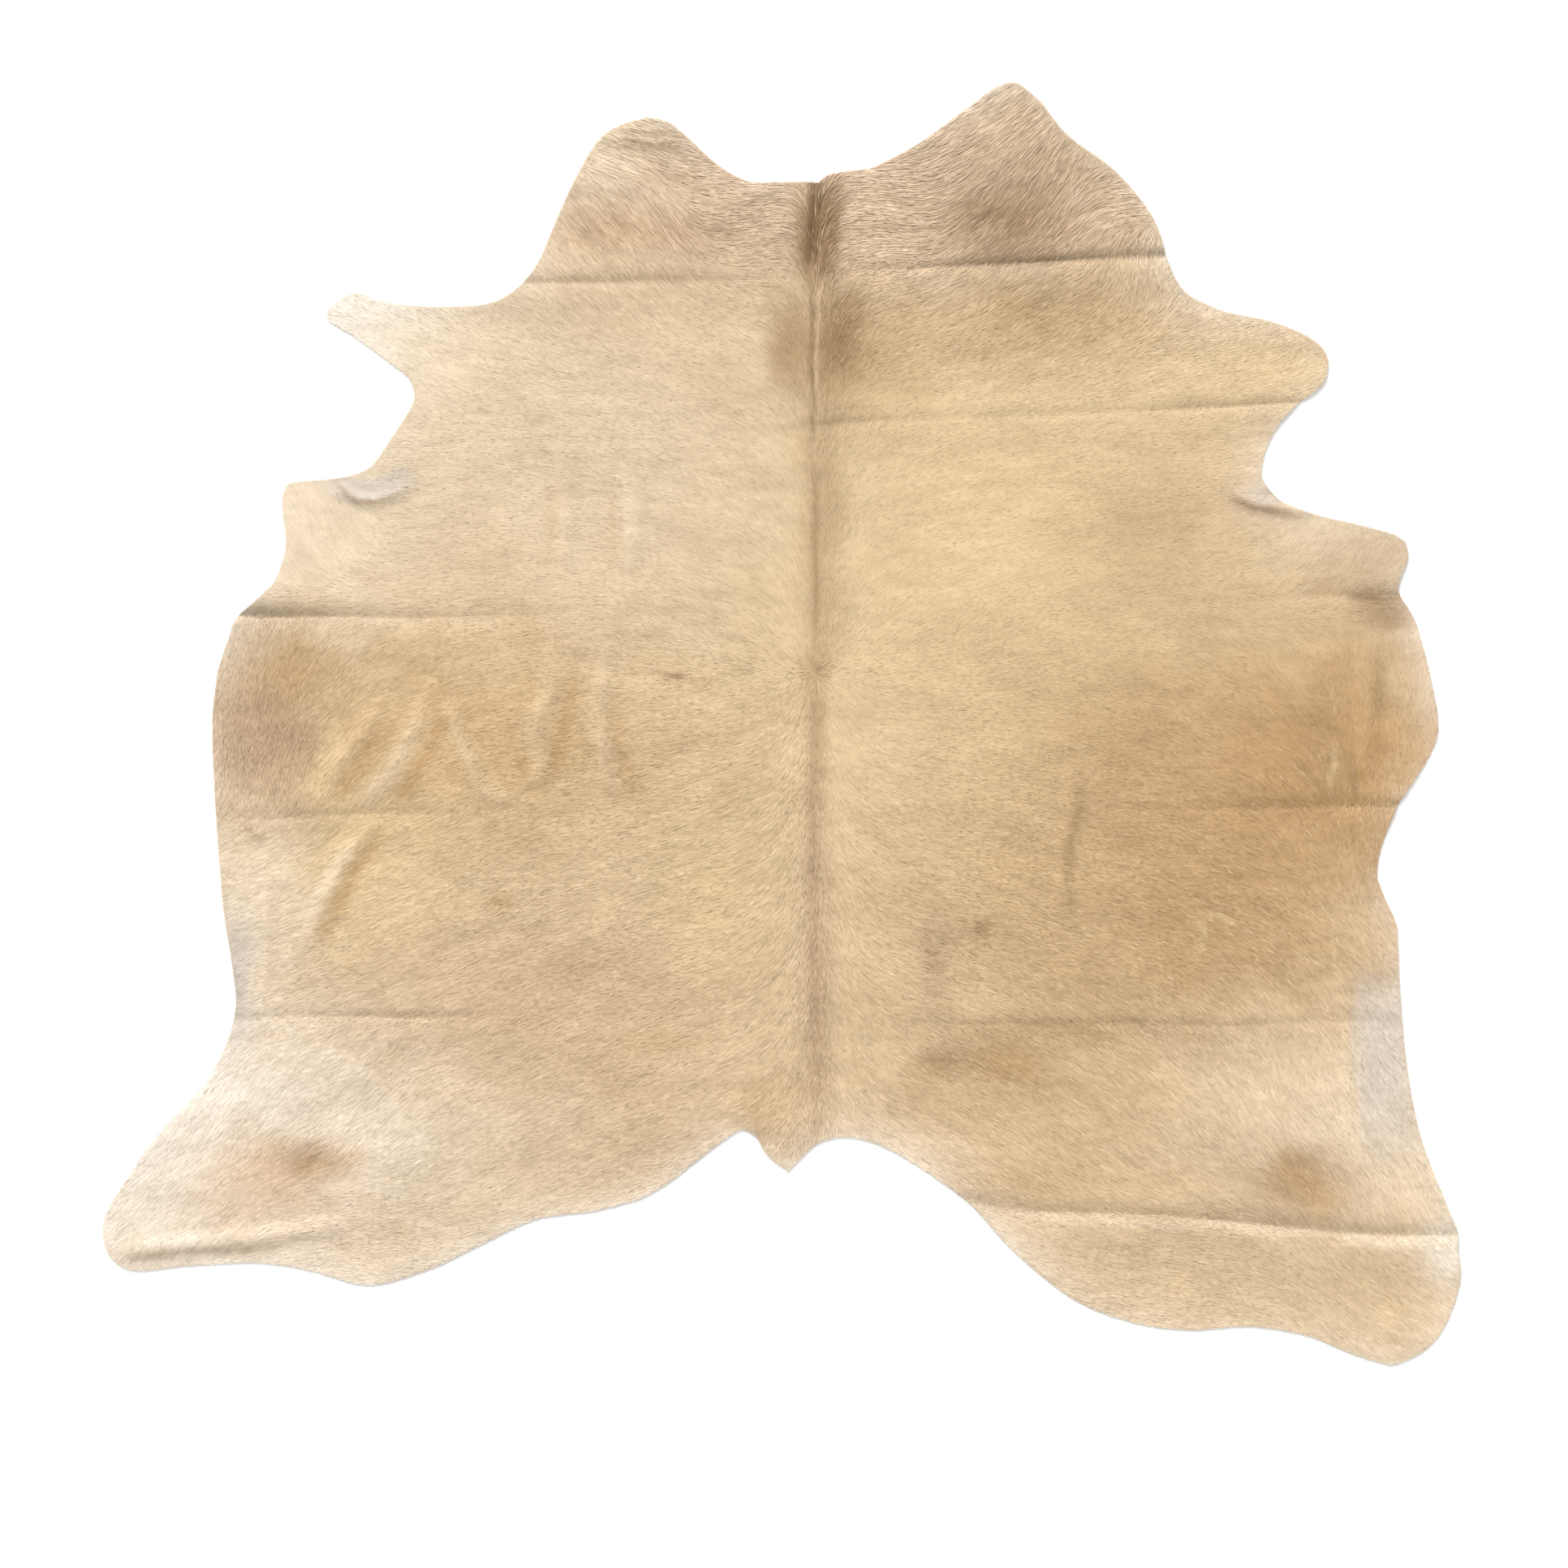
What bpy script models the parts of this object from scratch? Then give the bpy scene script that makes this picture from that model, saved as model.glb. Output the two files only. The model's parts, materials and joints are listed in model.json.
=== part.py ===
# Cowhide rug: one whole hide, hair side up, trimmed to its natural outline and laid out.
# It is one sheet, the skin with its lying coat, and it keeps the creases of its packed folds.
# Metres, +Z up, +Y towards the neck, +X to the right. The floor is z = 0, and the origin is
# on it, in the middle of the hide's width and length.

from collections import namedtuple
from math import pi

import bmesh
import bpy
import numpy as np
from mathutils import Vector
from mathutils.geometry import delaunay_2d_cdt, interpolate_bezier

# Overall size and build of the sheet
HIDE_WIDTH = 2.195          # across the hind legs
HIDE_LENGTH = 2.071         # neck tips to hind leg tips
SKIN_THICKNESS = 0.0025     # tanned skin
COAT_DEPTH = 0.0035         # short hair lying over the skin
RIM_COAT_DEPTH = 0.0008     # hair left standing at the cut edge
RIM_ROLL = 0.014            # how far inside the edge the coat reaches its depth
COAT_WAVE = 0.0005          # unevenness of the coat
COAT_WAVE_LENGTHS = (0.39, 0.27)    # of the two waves that cross in it

# How finely the sheet is divided
EDGE_STEP = 0.028           # along the outline
COLUMN_STEP = 0.042         # across the body
ROW_SHARES = (0.0, 0.035, 0.10, 0.25, 0.5, 0.75, 0.90, 0.965)   # rows from fold to fold
WRINKLE_STEP = 0.032        # along a wrinkle
WRINKLE_FOOT = 1.3          # reaches from a wrinkle's crest to its feet
WRINKLE_ROOM = 0.018        # kept free of other points beside a wrinkle
PATH_ROUNDS = 2             # each halves the steps along a wrinkle's curve
RIM_ROOM = 0.010            # kept free of other points beside the edge and its roll
INSIDE_ONLY = 1             # the triangulation keeps what lies within the outline
SAME_POINT = 1e-6

# The folded hide's lift off the floor beside its creases
FOLD_STEEPNESS = 1.6        # how fast a shoulder rises from its crease
FOLD_LENGTH = 3.0           # reaches over which it sinks again
FOLD_TAIL = 6.0             # reaches after which it lies flat
FLOOR_TOUCH = 0.0004        # the sheet settles onto the floor below this lift

COAT_COLOUR = (0.645, 0.468, 0.262, 1.0)
COAT_ROUGHNESS = 0.8

# The outline, clockwise from the notch at the nape. Each row is a point of the smooth edge,
# and its columns are the place across the body and along it.
Place = namedtuple("Place", "across along")

NECK_RIGHT = (
    Place(0.058, 0.875),    # notch at the nape
    Place(0.070, 0.884),
    Place(0.100, 0.893),
    Place(0.143, 0.899),
    Place(0.228, 0.944),
    Place(0.342, 1.026),
    Place(0.378, 1.035),    # tip of the lobe
    Place(0.411, 1.012),
    Place(0.460, 0.953),
    Place(0.540, 0.892),
    Place(0.599, 0.818),
    Place(0.620, 0.757),    # end of the neck fold
    Place(0.647, 0.702),
    Place(0.715, 0.667),
)
FORELEG_RIGHT = (
    Place(0.776, 0.654),
    Place(0.838, 0.632),
    Place(0.879, 0.598),    # tip
    Place(0.874, 0.552),
    Place(0.836, 0.520),    # end of the chest fold
    Place(0.800, 0.482),
    Place(0.780, 0.438),
    Place(0.776, 0.395),    # armpit
    Place(0.802, 0.363),
    Place(0.857, 0.340),
)
FLANK_RIGHT = (
    Place(0.914, 0.326),
    Place(0.973, 0.311),
    Place(1.004, 0.297),
    Place(1.011, 0.270),
    Place(0.995, 0.218),    # notch at the shoulder fold
    Place(1.022, 0.168),
    Place(1.050, 0.065),
    Place(1.059, -0.011),
    Place(1.037, -0.066),
    Place(0.997, -0.127),   # end of the loin fold
    Place(0.966, -0.205),
    Place(0.962, -0.250),   # notch at the flank's end
    Place(0.976, -0.286),
)
HIND_LEG_RIGHT = (
    Place(0.992, -0.326),
    Place(0.998, -0.430),
    Place(1.008, -0.543),
    Place(1.030, -0.661),
    Place(1.074, -0.780),
    Place(1.092, -0.825),   # end of the thigh fold
    Place(1.090, -0.845),
    Place(1.096, -0.892),
    Place(1.084, -0.942),
    Place(1.061, -0.988),
    Place(1.027, -1.019),
    Place(0.990, -1.034),   # tip
    Place(0.919, -1.016),
    Place(0.849, -0.988),
    Place(0.757, -0.973),
    Place(0.654, -0.978),
    Place(0.560, -0.964),
    Place(0.472, -0.930),
    Place(0.375, -0.853),
    Place(0.302, -0.774),
)
RUMP_AND_TAIL = (
    Place(0.204, -0.704),
    Place(0.147, -0.676),
    Place(0.097, -0.667),
    Place(0.053, -0.680),
    Place(0.023, -0.708),
    Place(0.007, -0.719),   # tail
    Place(-0.025, -0.696),
    Place(-0.040, -0.670),
    Place(-0.058, -0.655),
    Place(-0.078, -0.661),
    Place(-0.128, -0.698),
    Place(-0.207, -0.755),
)
HIND_LEG_LEFT = (
    Place(-0.300, -0.785),
    Place(-0.400, -0.800),
    Place(-0.479, -0.837),
    Place(-0.571, -0.881),
    Place(-0.669, -0.905),
    Place(-0.774, -0.880),
    Place(-0.850, -0.870),
    Place(-0.967, -0.875),
    Place(-1.052, -0.882),
    Place(-1.088, -0.858),
    Place(-1.097, -0.807),  # tip
    Place(-1.062, -0.739),
    Place(-1.004, -0.658),
    Place(-0.928, -0.575),
    Place(-0.891, -0.497),  # end of the rump fold
)
FLANK_LEFT = (
    Place(-0.883, -0.457),
    Place(-0.887, -0.405),
    Place(-0.904, -0.290),
    Place(-0.917, -0.110),
    Place(-0.920, 0.010),
    Place(-0.911, 0.090),
    Place(-0.892, 0.144),
    Place(-0.882, 0.172),   # corner at the shoulder fold
    Place(-0.851, 0.199),
    Place(-0.822, 0.228),
    Place(-0.802, 0.290),
    Place(-0.808, 0.357),
    Place(-0.801, 0.384),
    Place(-0.785, 0.391),
)
FORELEG_LEFT = (
    Place(-0.729, 0.396),
    Place(-0.670, 0.412),   # armpit
    Place(-0.634, 0.459),
    Place(-0.605, 0.503),
    Place(-0.594, 0.528),   # inside of the bay
    Place(-0.604, 0.560),
    Place(-0.631, 0.582),
    Place(-0.692, 0.628),
    Place(-0.735, 0.658),
    Place(-0.724, 0.680),   # tip
    Place(-0.690, 0.695),
    Place(-0.637, 0.680),
    Place(-0.539, 0.674),
)
NECK_LEFT = (
    Place(-0.458, 0.685),
    Place(-0.401, 0.735),
    Place(-0.366, 0.812),
    Place(-0.326, 0.897),
    Place(-0.286, 0.954),
    Place(-0.223, 0.978),   # tip of the lobe
    Place(-0.179, 0.970),
    Place(-0.149, 0.945),
    Place(-0.109, 0.908),
    Place(-0.057, 0.878),
    Place(-0.004, 0.876),
    Place(0.040, 0.876),
)
OUTLINE = (NECK_RIGHT + FORELEG_RIGHT + FLANK_RIGHT + HIND_LEG_RIGHT + RUMP_AND_TAIL
           + HIND_LEG_LEFT + FLANK_LEFT + FORELEG_LEFT + NECK_LEFT)

# Packed folds, from the neck to the hind legs. Each runs across the whole hide as a valley
# that touches the floor between two raised shoulders. Its knots give its place along the body
# and its shoulders' rise, from left to right, and each shoulder reaches some way towards the
# neck (above) and the tail (below).
Fold = namedtuple("Fold", "above below knots")
Knot = namedtuple("Knot", "across along rise")

NECK_FOLD = Fold(0.024, 0.018, (
    Knot(-0.420, 0.713, 0.0030),
    Knot(-0.300, 0.714, 0.0030),
    Knot(-0.200, 0.717, 0.0022),
    Knot(-0.080, 0.718, 0.0016),
    Knot(0.050, 0.726, 0.0010),
    Knot(0.170, 0.735, 0.0028),
    Knot(0.300, 0.741, 0.0054),
    Knot(0.400, 0.745, 0.0062),
    Knot(0.500, 0.751, 0.0068),
    Knot(0.620, 0.757, 0.0070),
))
CHEST_FOLD = Fold(0.020, 0.018, (
    Knot(-0.600, 0.455, 0.0001),
    Knot(-0.150, 0.470, 0.0002),
    Knot(0.000, 0.475, 0.0013),
    Knot(0.100, 0.487, 0.0028),
    Knot(0.200, 0.492, 0.0015),
    Knot(0.400, 0.500, 0.0013),
    Knot(0.500, 0.503, 0.0016),
    Knot(0.600, 0.507, 0.0025),
    Knot(0.700, 0.512, 0.0036),
    Knot(0.835, 0.520, 0.0045),
))
SHOULDER_FOLD = Fold(0.022, 0.018, (
    Knot(-0.870, 0.175, 0.0080),
    Knot(-0.800, 0.174, 0.0070),
    Knot(-0.700, 0.174, 0.0045),
    Knot(-0.600, 0.171, 0.0034),
    Knot(-0.500, 0.173, 0.0024),
    Knot(-0.250, 0.174, 0.0002),
    Knot(0.100, 0.173, 0.0003),
    Knot(0.500, 0.184, 0.0004),
    Knot(0.700, 0.197, 0.0006),
    Knot(0.800, 0.203, 0.0015),
    Knot(0.900, 0.207, 0.0030),
    Knot(0.995, 0.208, 0.0045),
))
LOIN_FOLD = Fold(0.018, 0.016, (
    Knot(-0.880, -0.152, 0.0022),
    Knot(-0.800, -0.150, 0.0024),
    Knot(-0.750, -0.146, 0.0028),
    Knot(-0.650, -0.143, 0.0026),
    Knot(-0.500, -0.142, 0.0008),
    Knot(0.000, -0.140, 0.0002),
    Knot(0.500, -0.140, 0.0006),
    Knot(0.800, -0.136, 0.0020),
    Knot(0.900, -0.131, 0.0040),
    Knot(0.990, -0.132, 0.0045),
))
RUMP_FOLD = Fold(0.018, 0.016, (
    Knot(-0.880, -0.478, 0.0022),
    Knot(-0.800, -0.472, 0.0024),
    Knot(-0.700, -0.473, 0.0034),
    Knot(-0.600, -0.476, 0.0040),
    Knot(-0.520, -0.472, 0.0026),
    Knot(-0.400, -0.474, 0.0006),
    Knot(0.000, -0.483, 0.0001),
    Knot(0.200, -0.487, 0.0008),
    Knot(0.300, -0.487, 0.0020),
    Knot(0.450, -0.486, 0.0024),
    Knot(0.550, -0.484, 0.0024),
    Knot(0.700, -0.489, 0.0026),
    Knot(0.900, -0.480, 0.0016),
))
THIGH_FOLD = Fold(0.026, 0.020, (
    Knot(0.140, -0.766, 0.0000),
    Knot(0.230, -0.770, 0.0006),
    Knot(0.320, -0.777, 0.0026),
    Knot(0.400, -0.789, 0.0036),
    Knot(0.500, -0.791, 0.0046),
    Knot(0.600, -0.793, 0.0046),
    Knot(0.700, -0.802, 0.0050),
    Knot(0.800, -0.812, 0.0056),
    Knot(0.900, -0.822, 0.0062),
    Knot(1.000, -0.826, 0.0066),
    Knot(1.090, -0.826, 0.0070),
))
FOLDS = (NECK_FOLD, CHEST_FOLD, SHOULDER_FOLD, LOIN_FOLD, RUMP_FOLD, THIGH_FOLD)

# Wrinkles that stand up between the folds: a ridge along its points, its rise in the middle,
# and the half width of its crest.
Wrinkle = namedtuple("Wrinkle", "rise reach places")

WRINKLES = (
    Wrinkle(0.0052, 0.012, (    # left flank
        Place(-0.532, 0.050),
        Place(-0.525, -0.012),
        Place(-0.503, -0.060),
        Place(-0.484, -0.104),
        Place(-0.437, -0.130),
    )),
    Wrinkle(0.0056, 0.016, (    # left ribs
        Place(-0.370, 0.165),
        Place(-0.374, 0.055),
        Place(-0.395, 0.012),
        Place(-0.396, -0.028),
        Place(-0.388, -0.062),
        Place(-0.402, -0.110),
    )),
    Wrinkle(0.0056, 0.016, (    # left side of the back
        Place(-0.283, 0.165),
        Place(-0.286, 0.080),
        Place(-0.294, 0.017),
        Place(-0.289, -0.028),
        Place(-0.285, -0.080),
        Place(-0.270, -0.128),
    )),
    Wrinkle(0.0040, 0.016, (    # pleats of the left flank
        Place(-0.560, 0.075),
        Place(-0.582, 0.017),
        Place(-0.632, -0.080),
        Place(-0.684, -0.135),
    )),
    Wrinkle(0.0036, 0.014, (
        Place(-0.640, 0.050),
        Place(-0.672, -0.010),
        Place(-0.722, -0.070),
        Place(-0.738, -0.120),
    )),
    Wrinkle(0.0042, 0.015, (    # left belly
        Place(-0.650, -0.150),
        Place(-0.700, -0.215),
        Place(-0.748, -0.300),
        Place(-0.768, -0.375),
    )),
    Wrinkle(0.0034, 0.017, (    # left shoulder
        Place(-0.379, 0.456),
        Place(-0.355, 0.435),
        Place(-0.347, 0.395),
        Place(-0.352, 0.300),
        Place(-0.360, 0.230),
    )),
    Wrinkle(0.0032, 0.018, (
        Place(-0.250, 0.430),
        Place(-0.243, 0.350),
        Place(-0.250, 0.240),
    )),
    Wrinkle(0.0060, 0.012, (    # left armpit
        Place(-0.735, 0.382),
        Place(-0.690, 0.362),
        Place(-0.640, 0.362),
        Place(-0.592, 0.385),
    )),
    Wrinkle(0.0060, 0.012, (    # right armpit
        Place(0.725, 0.376),
        Place(0.765, 0.356),
        Place(0.820, 0.346),
        Place(0.862, 0.340),
    )),
    Wrinkle(0.0036, 0.014, (    # right ribs
        Place(0.462, -0.070),
        Place(0.466, -0.150),
        Place(0.450, -0.215),
        Place(0.456, -0.320),
    )),
    Wrinkle(0.0040, 0.012, (    # right flank
        Place(0.900, -0.020),
        Place(0.880, -0.060),
        Place(0.879, -0.118),
    )),
    Wrinkle(0.0045, 0.018, (
        Place(0.955, 0.150),
        Place(0.946, 0.060),
        Place(0.952, -0.010),
        Place(0.935, -0.095),
    )),
    Wrinkle(0.0085, 0.016, (    # left hind leg
        Place(-1.085, -0.851),
        Place(-1.004, -0.846),
        Place(-0.932, -0.839),
        Place(-0.840, -0.830),
        Place(-0.768, -0.820),
        Place(-0.690, -0.809),
    )),
    Wrinkle(0.0040, 0.009, (    # left neck tip
        Place(-0.290, 0.944),
        Place(-0.216, 0.938),
        Place(-0.140, 0.932),
    )),
    Wrinkle(0.0036, 0.012, (    # right of the tail
        Place(0.158, -0.600),
        Place(0.166, -0.640),
        Place(0.176, -0.668),
    )),
    Wrinkle(0.0040, 0.012, (    # left of the tail
        Place(-0.080, -0.590),
        Place(-0.062, -0.630),
        Place(-0.040, -0.672),
    )),
)


def clear_scene():
    for thing in list(bpy.data.objects):
        bpy.data.objects.remove(thing, do_unlink=True)


def smooth_edge(places):
    """The closed curve through the outline's points, as even short steps."""
    knots = [Vector((place.across, place.along, 0.0)) for place in places]
    edge = []
    for index, knot in enumerate(knots):
        before, after = knots[index - 1], knots[(index + 1) % len(knots)]
        beyond = knots[(index + 2) % len(knots)]
        handle = (after - knot).length / 3
        leaving = knot + (after - before).normalized() * handle
        arriving = after - (beyond - knot).normalized() * handle
        steps = max(1, round((after - knot).length / EDGE_STEP))
        edge += interpolate_bezier(knot, leaving, arriving, after, steps + 1)[:-1]
    return np.array([(point.x, point.y) for point in edge])


def roll_line(edge):
    """The line inside the edge where the coat reaches its full depth."""
    along = np.roll(edge, -1, axis=0) - np.roll(edge, 1, axis=0)
    inward = np.column_stack((along[:, 1], -along[:, 0]))
    inward /= np.linalg.norm(inward, axis=1)[:, None]
    return edge + inward * RIM_ROLL


def beside(points, starts, runs):
    """How far along each straight run every point lies, and how far away from it."""
    offset = points[:, None, :] - starts[None, :, :]
    share = np.clip((offset * runs).sum(axis=2) / (runs * runs).sum(axis=1), 0.0, 1.0)
    return share, np.linalg.norm(offset - runs * share[:, :, None], axis=2)


def edge_distance(points, edge):
    """How far each point lies from the outline."""
    return beside(points, edge, np.roll(edge, -1, axis=0) - edge)[1].min(axis=1)


def fold_at(fold, across):
    """The fold's place along the body, and its shoulders' rise."""
    places, lines, rises = np.array(fold.knots).T
    return np.interp(across, places, lines), np.interp(across, places, rises)


def smooth_path(places):
    """The smooth curve through a wrinkle's places, as short steps."""
    path = np.array(places)
    for _ in range(PATH_ROUNDS):
        before = np.vstack((2 * path[0] - path[1], path))[:-2]
        beyond = np.vstack((path, 2 * path[-1] - path[-2]))[2:]
        halfway = (9 * (path[:-1] + path[1:]) - before - beyond) / 16
        steps = np.stack((path[:-1], halfway), axis=1).reshape(-1, 2)
        path = np.vstack((steps, path[-1:]))
    return path


def row_points(edge):
    """A grid across the body whose rows follow the folds and crowd towards them."""
    (left, tail_end), (right, neck_end) = edge.min(axis=0), edge.max(axis=0)
    columns = round((right - left) / COLUMN_STEP)
    points = []
    for across in np.linspace(left, right, columns + 1):
        folds = [fold_at(fold, across)[0] for fold in FOLDS]
        lines = [neck_end] + folds + [tail_end]
        for upper, lower in zip(lines, lines[1:]):
            points += [(across, upper + (lower - upper) * share) for share in ROW_SHARES]
    return np.array(points)


def wrinkle_points():
    """Points on each wrinkle's crest and along both of its feet."""
    points = []
    for wrinkle in WRINKLES:
        path = smooth_path(wrinkle.places)
        gone = np.cumsum(np.linalg.norm(np.diff(path, axis=0), axis=1))
        gone = np.concatenate(([0.0], gone))
        stations = np.linspace(0.0, gone[-1], round(gone[-1] / WRINKLE_STEP) + 1)
        crest = np.column_stack([np.interp(stations, gone, column) for column in path.T])
        run = np.gradient(crest, axis=0)
        run /= np.linalg.norm(run, axis=1)[:, None]
        side = np.column_stack((-run[:, 1], run[:, 0])) * wrinkle.reach * WRINKLE_FOOT
        points += [crest[1:-1], (crest + side)[1:-1], (crest - side)[1:-1]]
    return np.vstack(points)


def clear_of(points, others, room):
    """The points that keep their room from all the others."""
    gaps = np.linalg.norm(points[:, None, :] - others[None, :, :], axis=2).min(axis=1)
    return points[gaps > room]


def fold_lift(places):
    lift = np.zeros(len(places))
    for fold in FOLDS:
        line, rise = fold_at(fold, places[:, 0])
        side = places[:, 1] - line
        reaches = abs(side) / np.where(side > 0, fold.above, fold.below)
        rising = 1 - np.exp(-FOLD_STEEPNESS * reaches)
        sinking = np.exp(-(reaches / FOLD_LENGTH) ** 2)
        lift += rise * rising * sinking * np.clip(1 - (reaches / FOLD_TAIL) ** 2, 0.0, 1.0)
    return lift


def wrinkle_lift(places):
    lift = np.zeros(len(places))
    each = np.arange(len(places))
    for wrinkle in WRINKLES:
        path = smooth_path(wrinkle.places)
        share, off = beside(places, path[:-1], np.diff(path, axis=0))
        nearest = off.argmin(axis=1)
        gone = (nearest + share[each, nearest]) / (len(path) - 1)
        crest = wrinkle.rise * (1 - (2 * gone - 1) ** 4)
        lift += crest * np.exp(-(off[each, nearest] / wrinkle.reach) ** 2)
    return lift


def floor_lift(places):
    """Height of the underside: flat on the floor but for the folds and wrinkles."""
    return np.maximum(0.0, fold_lift(places) + wrinkle_lift(places) - FLOOR_TOUCH)


def sheet_thickness(places, edge):
    """Skin and coat together: the coat thins towards the edge and waves a little."""
    inside = np.minimum(1.0, edge_distance(places, edge) / RIM_ROLL)
    coat = RIM_COAT_DEPTH + (COAT_DEPTH - RIM_COAT_DEPTH) * inside * (2 - inside)
    across, along = places.T
    longer, shorter = COAT_WAVE_LENGTHS
    wave = np.sin(2 * pi * (across + along) / longer)
    wave *= np.sin(2 * pi * (along - across) / shorter)
    return SKIN_THICKNESS + coat + COAT_WAVE * wave * inside


def flat_sheet(edge):
    """The hide's outline filled with triangles that follow its folds and wrinkles."""
    roll = roll_line(edge)
    wrinkles = wrinkle_points()
    rows = clear_of(row_points(edge), wrinkles, WRINKLE_ROOM)
    inner = np.vstack((wrinkles, rows))
    inner = clear_of(inner, roll, RIM_ROOM)
    inner = inner[edge_distance(inner, edge) > RIM_ROLL]
    roll = roll[edge_distance(roll, edge) > RIM_ROOM]
    points = [Vector(point) for point in np.vstack((edge, roll, inner))]
    rim = [(index, (index + 1) % len(edge)) for index in range(len(edge))]
    corners, _, faces, *_ = delaunay_2d_cdt(points, rim, [], INSIDE_ONLY, SAME_POINT)

    sheet = bmesh.new()
    verts = [sheet.verts.new((corner.x, corner.y, 0.0)) for corner in corners]
    for face in faces:
        sheet.faces.new([verts[index] for index in face])
    loose = [vert for vert in sheet.verts if not vert.link_faces]
    bmesh.ops.delete(sheet, geom=loose, context="VERTS")
    return sheet


def build_hide():
    edge = smooth_edge(OUTLINE)
    hide = flat_sheet(edge)
    raised = bmesh.ops.extrude_face_region(hide, geom=hide.faces[:])["geom"]
    upper = {item for item in raised if isinstance(item, bmesh.types.BMVert)}

    hide.verts.ensure_lookup_table()
    places = np.array([vert.co.xy for vert in hide.verts])
    low, high = edge.min(axis=0), edge.max(axis=0)
    sized = (places - (low + high) / 2) * (HIDE_WIDTH, HIDE_LENGTH) / (high - low)
    lift, thickness = floor_lift(places), sheet_thickness(places, edge)
    for vert, place, floor, depth in zip(hide.verts, sized, lift, thickness):
        vert.co = (*place, floor + depth if vert in upper else floor)
    bmesh.ops.triangulate(hide, faces=hide.faces[:])
    bmesh.ops.recalc_face_normals(hide, faces=hide.faces[:])

    mesh = bpy.data.meshes.new("hide")
    hide.to_mesh(mesh)
    hide.free()
    return mesh


def coat_material():
    material = bpy.data.materials.new("sandy coat")
    material.use_nodes = True
    shader = material.node_tree.nodes["Principled BSDF"]
    shader.inputs["Base Color"].default_value = COAT_COLOUR
    shader.inputs["Roughness"].default_value = COAT_ROUGHNESS
    shader.inputs["Metallic"].default_value = 0.0
    return material


def main():
    clear_scene()
    mesh = build_hide()
    mesh.materials.append(coat_material())
    mesh.shade_smooth()
    mesh.set_sharp_from_angle(angle=pi / 4)
    hide = bpy.data.objects.new("hide", mesh)
    bpy.context.scene.collection.objects.link(hide)


main()
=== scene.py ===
# Cowhide rug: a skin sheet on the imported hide's folds, covered with combed locks of short hair.
# Metres, +Z up, +Y towards the neck, +X to the right, seen from the hair side.

import json
from math import cos, pi, radians, sin

import bmesh
import bpy
import numpy as np
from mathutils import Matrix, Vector

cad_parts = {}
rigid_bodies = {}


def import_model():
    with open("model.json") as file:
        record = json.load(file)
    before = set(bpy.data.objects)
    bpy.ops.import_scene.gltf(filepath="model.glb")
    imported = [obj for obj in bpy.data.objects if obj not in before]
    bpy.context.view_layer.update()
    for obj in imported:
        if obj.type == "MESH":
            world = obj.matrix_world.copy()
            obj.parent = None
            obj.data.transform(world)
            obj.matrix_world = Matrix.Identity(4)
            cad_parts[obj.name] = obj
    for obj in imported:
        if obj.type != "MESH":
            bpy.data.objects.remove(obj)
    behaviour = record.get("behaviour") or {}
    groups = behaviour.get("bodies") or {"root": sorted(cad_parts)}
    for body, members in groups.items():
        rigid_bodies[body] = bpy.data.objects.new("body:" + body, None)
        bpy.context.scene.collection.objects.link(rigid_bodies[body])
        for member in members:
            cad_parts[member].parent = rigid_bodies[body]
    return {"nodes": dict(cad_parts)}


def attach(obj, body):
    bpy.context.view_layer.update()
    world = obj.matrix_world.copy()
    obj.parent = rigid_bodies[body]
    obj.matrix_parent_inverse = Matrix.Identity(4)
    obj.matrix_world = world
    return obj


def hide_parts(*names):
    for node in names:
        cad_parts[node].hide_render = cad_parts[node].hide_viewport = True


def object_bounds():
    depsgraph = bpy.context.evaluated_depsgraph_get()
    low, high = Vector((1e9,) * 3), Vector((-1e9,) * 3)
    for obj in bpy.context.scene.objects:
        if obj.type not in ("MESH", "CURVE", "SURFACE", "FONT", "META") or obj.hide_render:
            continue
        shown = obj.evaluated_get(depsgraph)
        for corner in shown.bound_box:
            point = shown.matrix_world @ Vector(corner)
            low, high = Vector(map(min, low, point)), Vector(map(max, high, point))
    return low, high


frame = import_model()
cadLow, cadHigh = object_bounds()
print("frame loaded")


# Folds, wrinkles and the height of the skin

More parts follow.
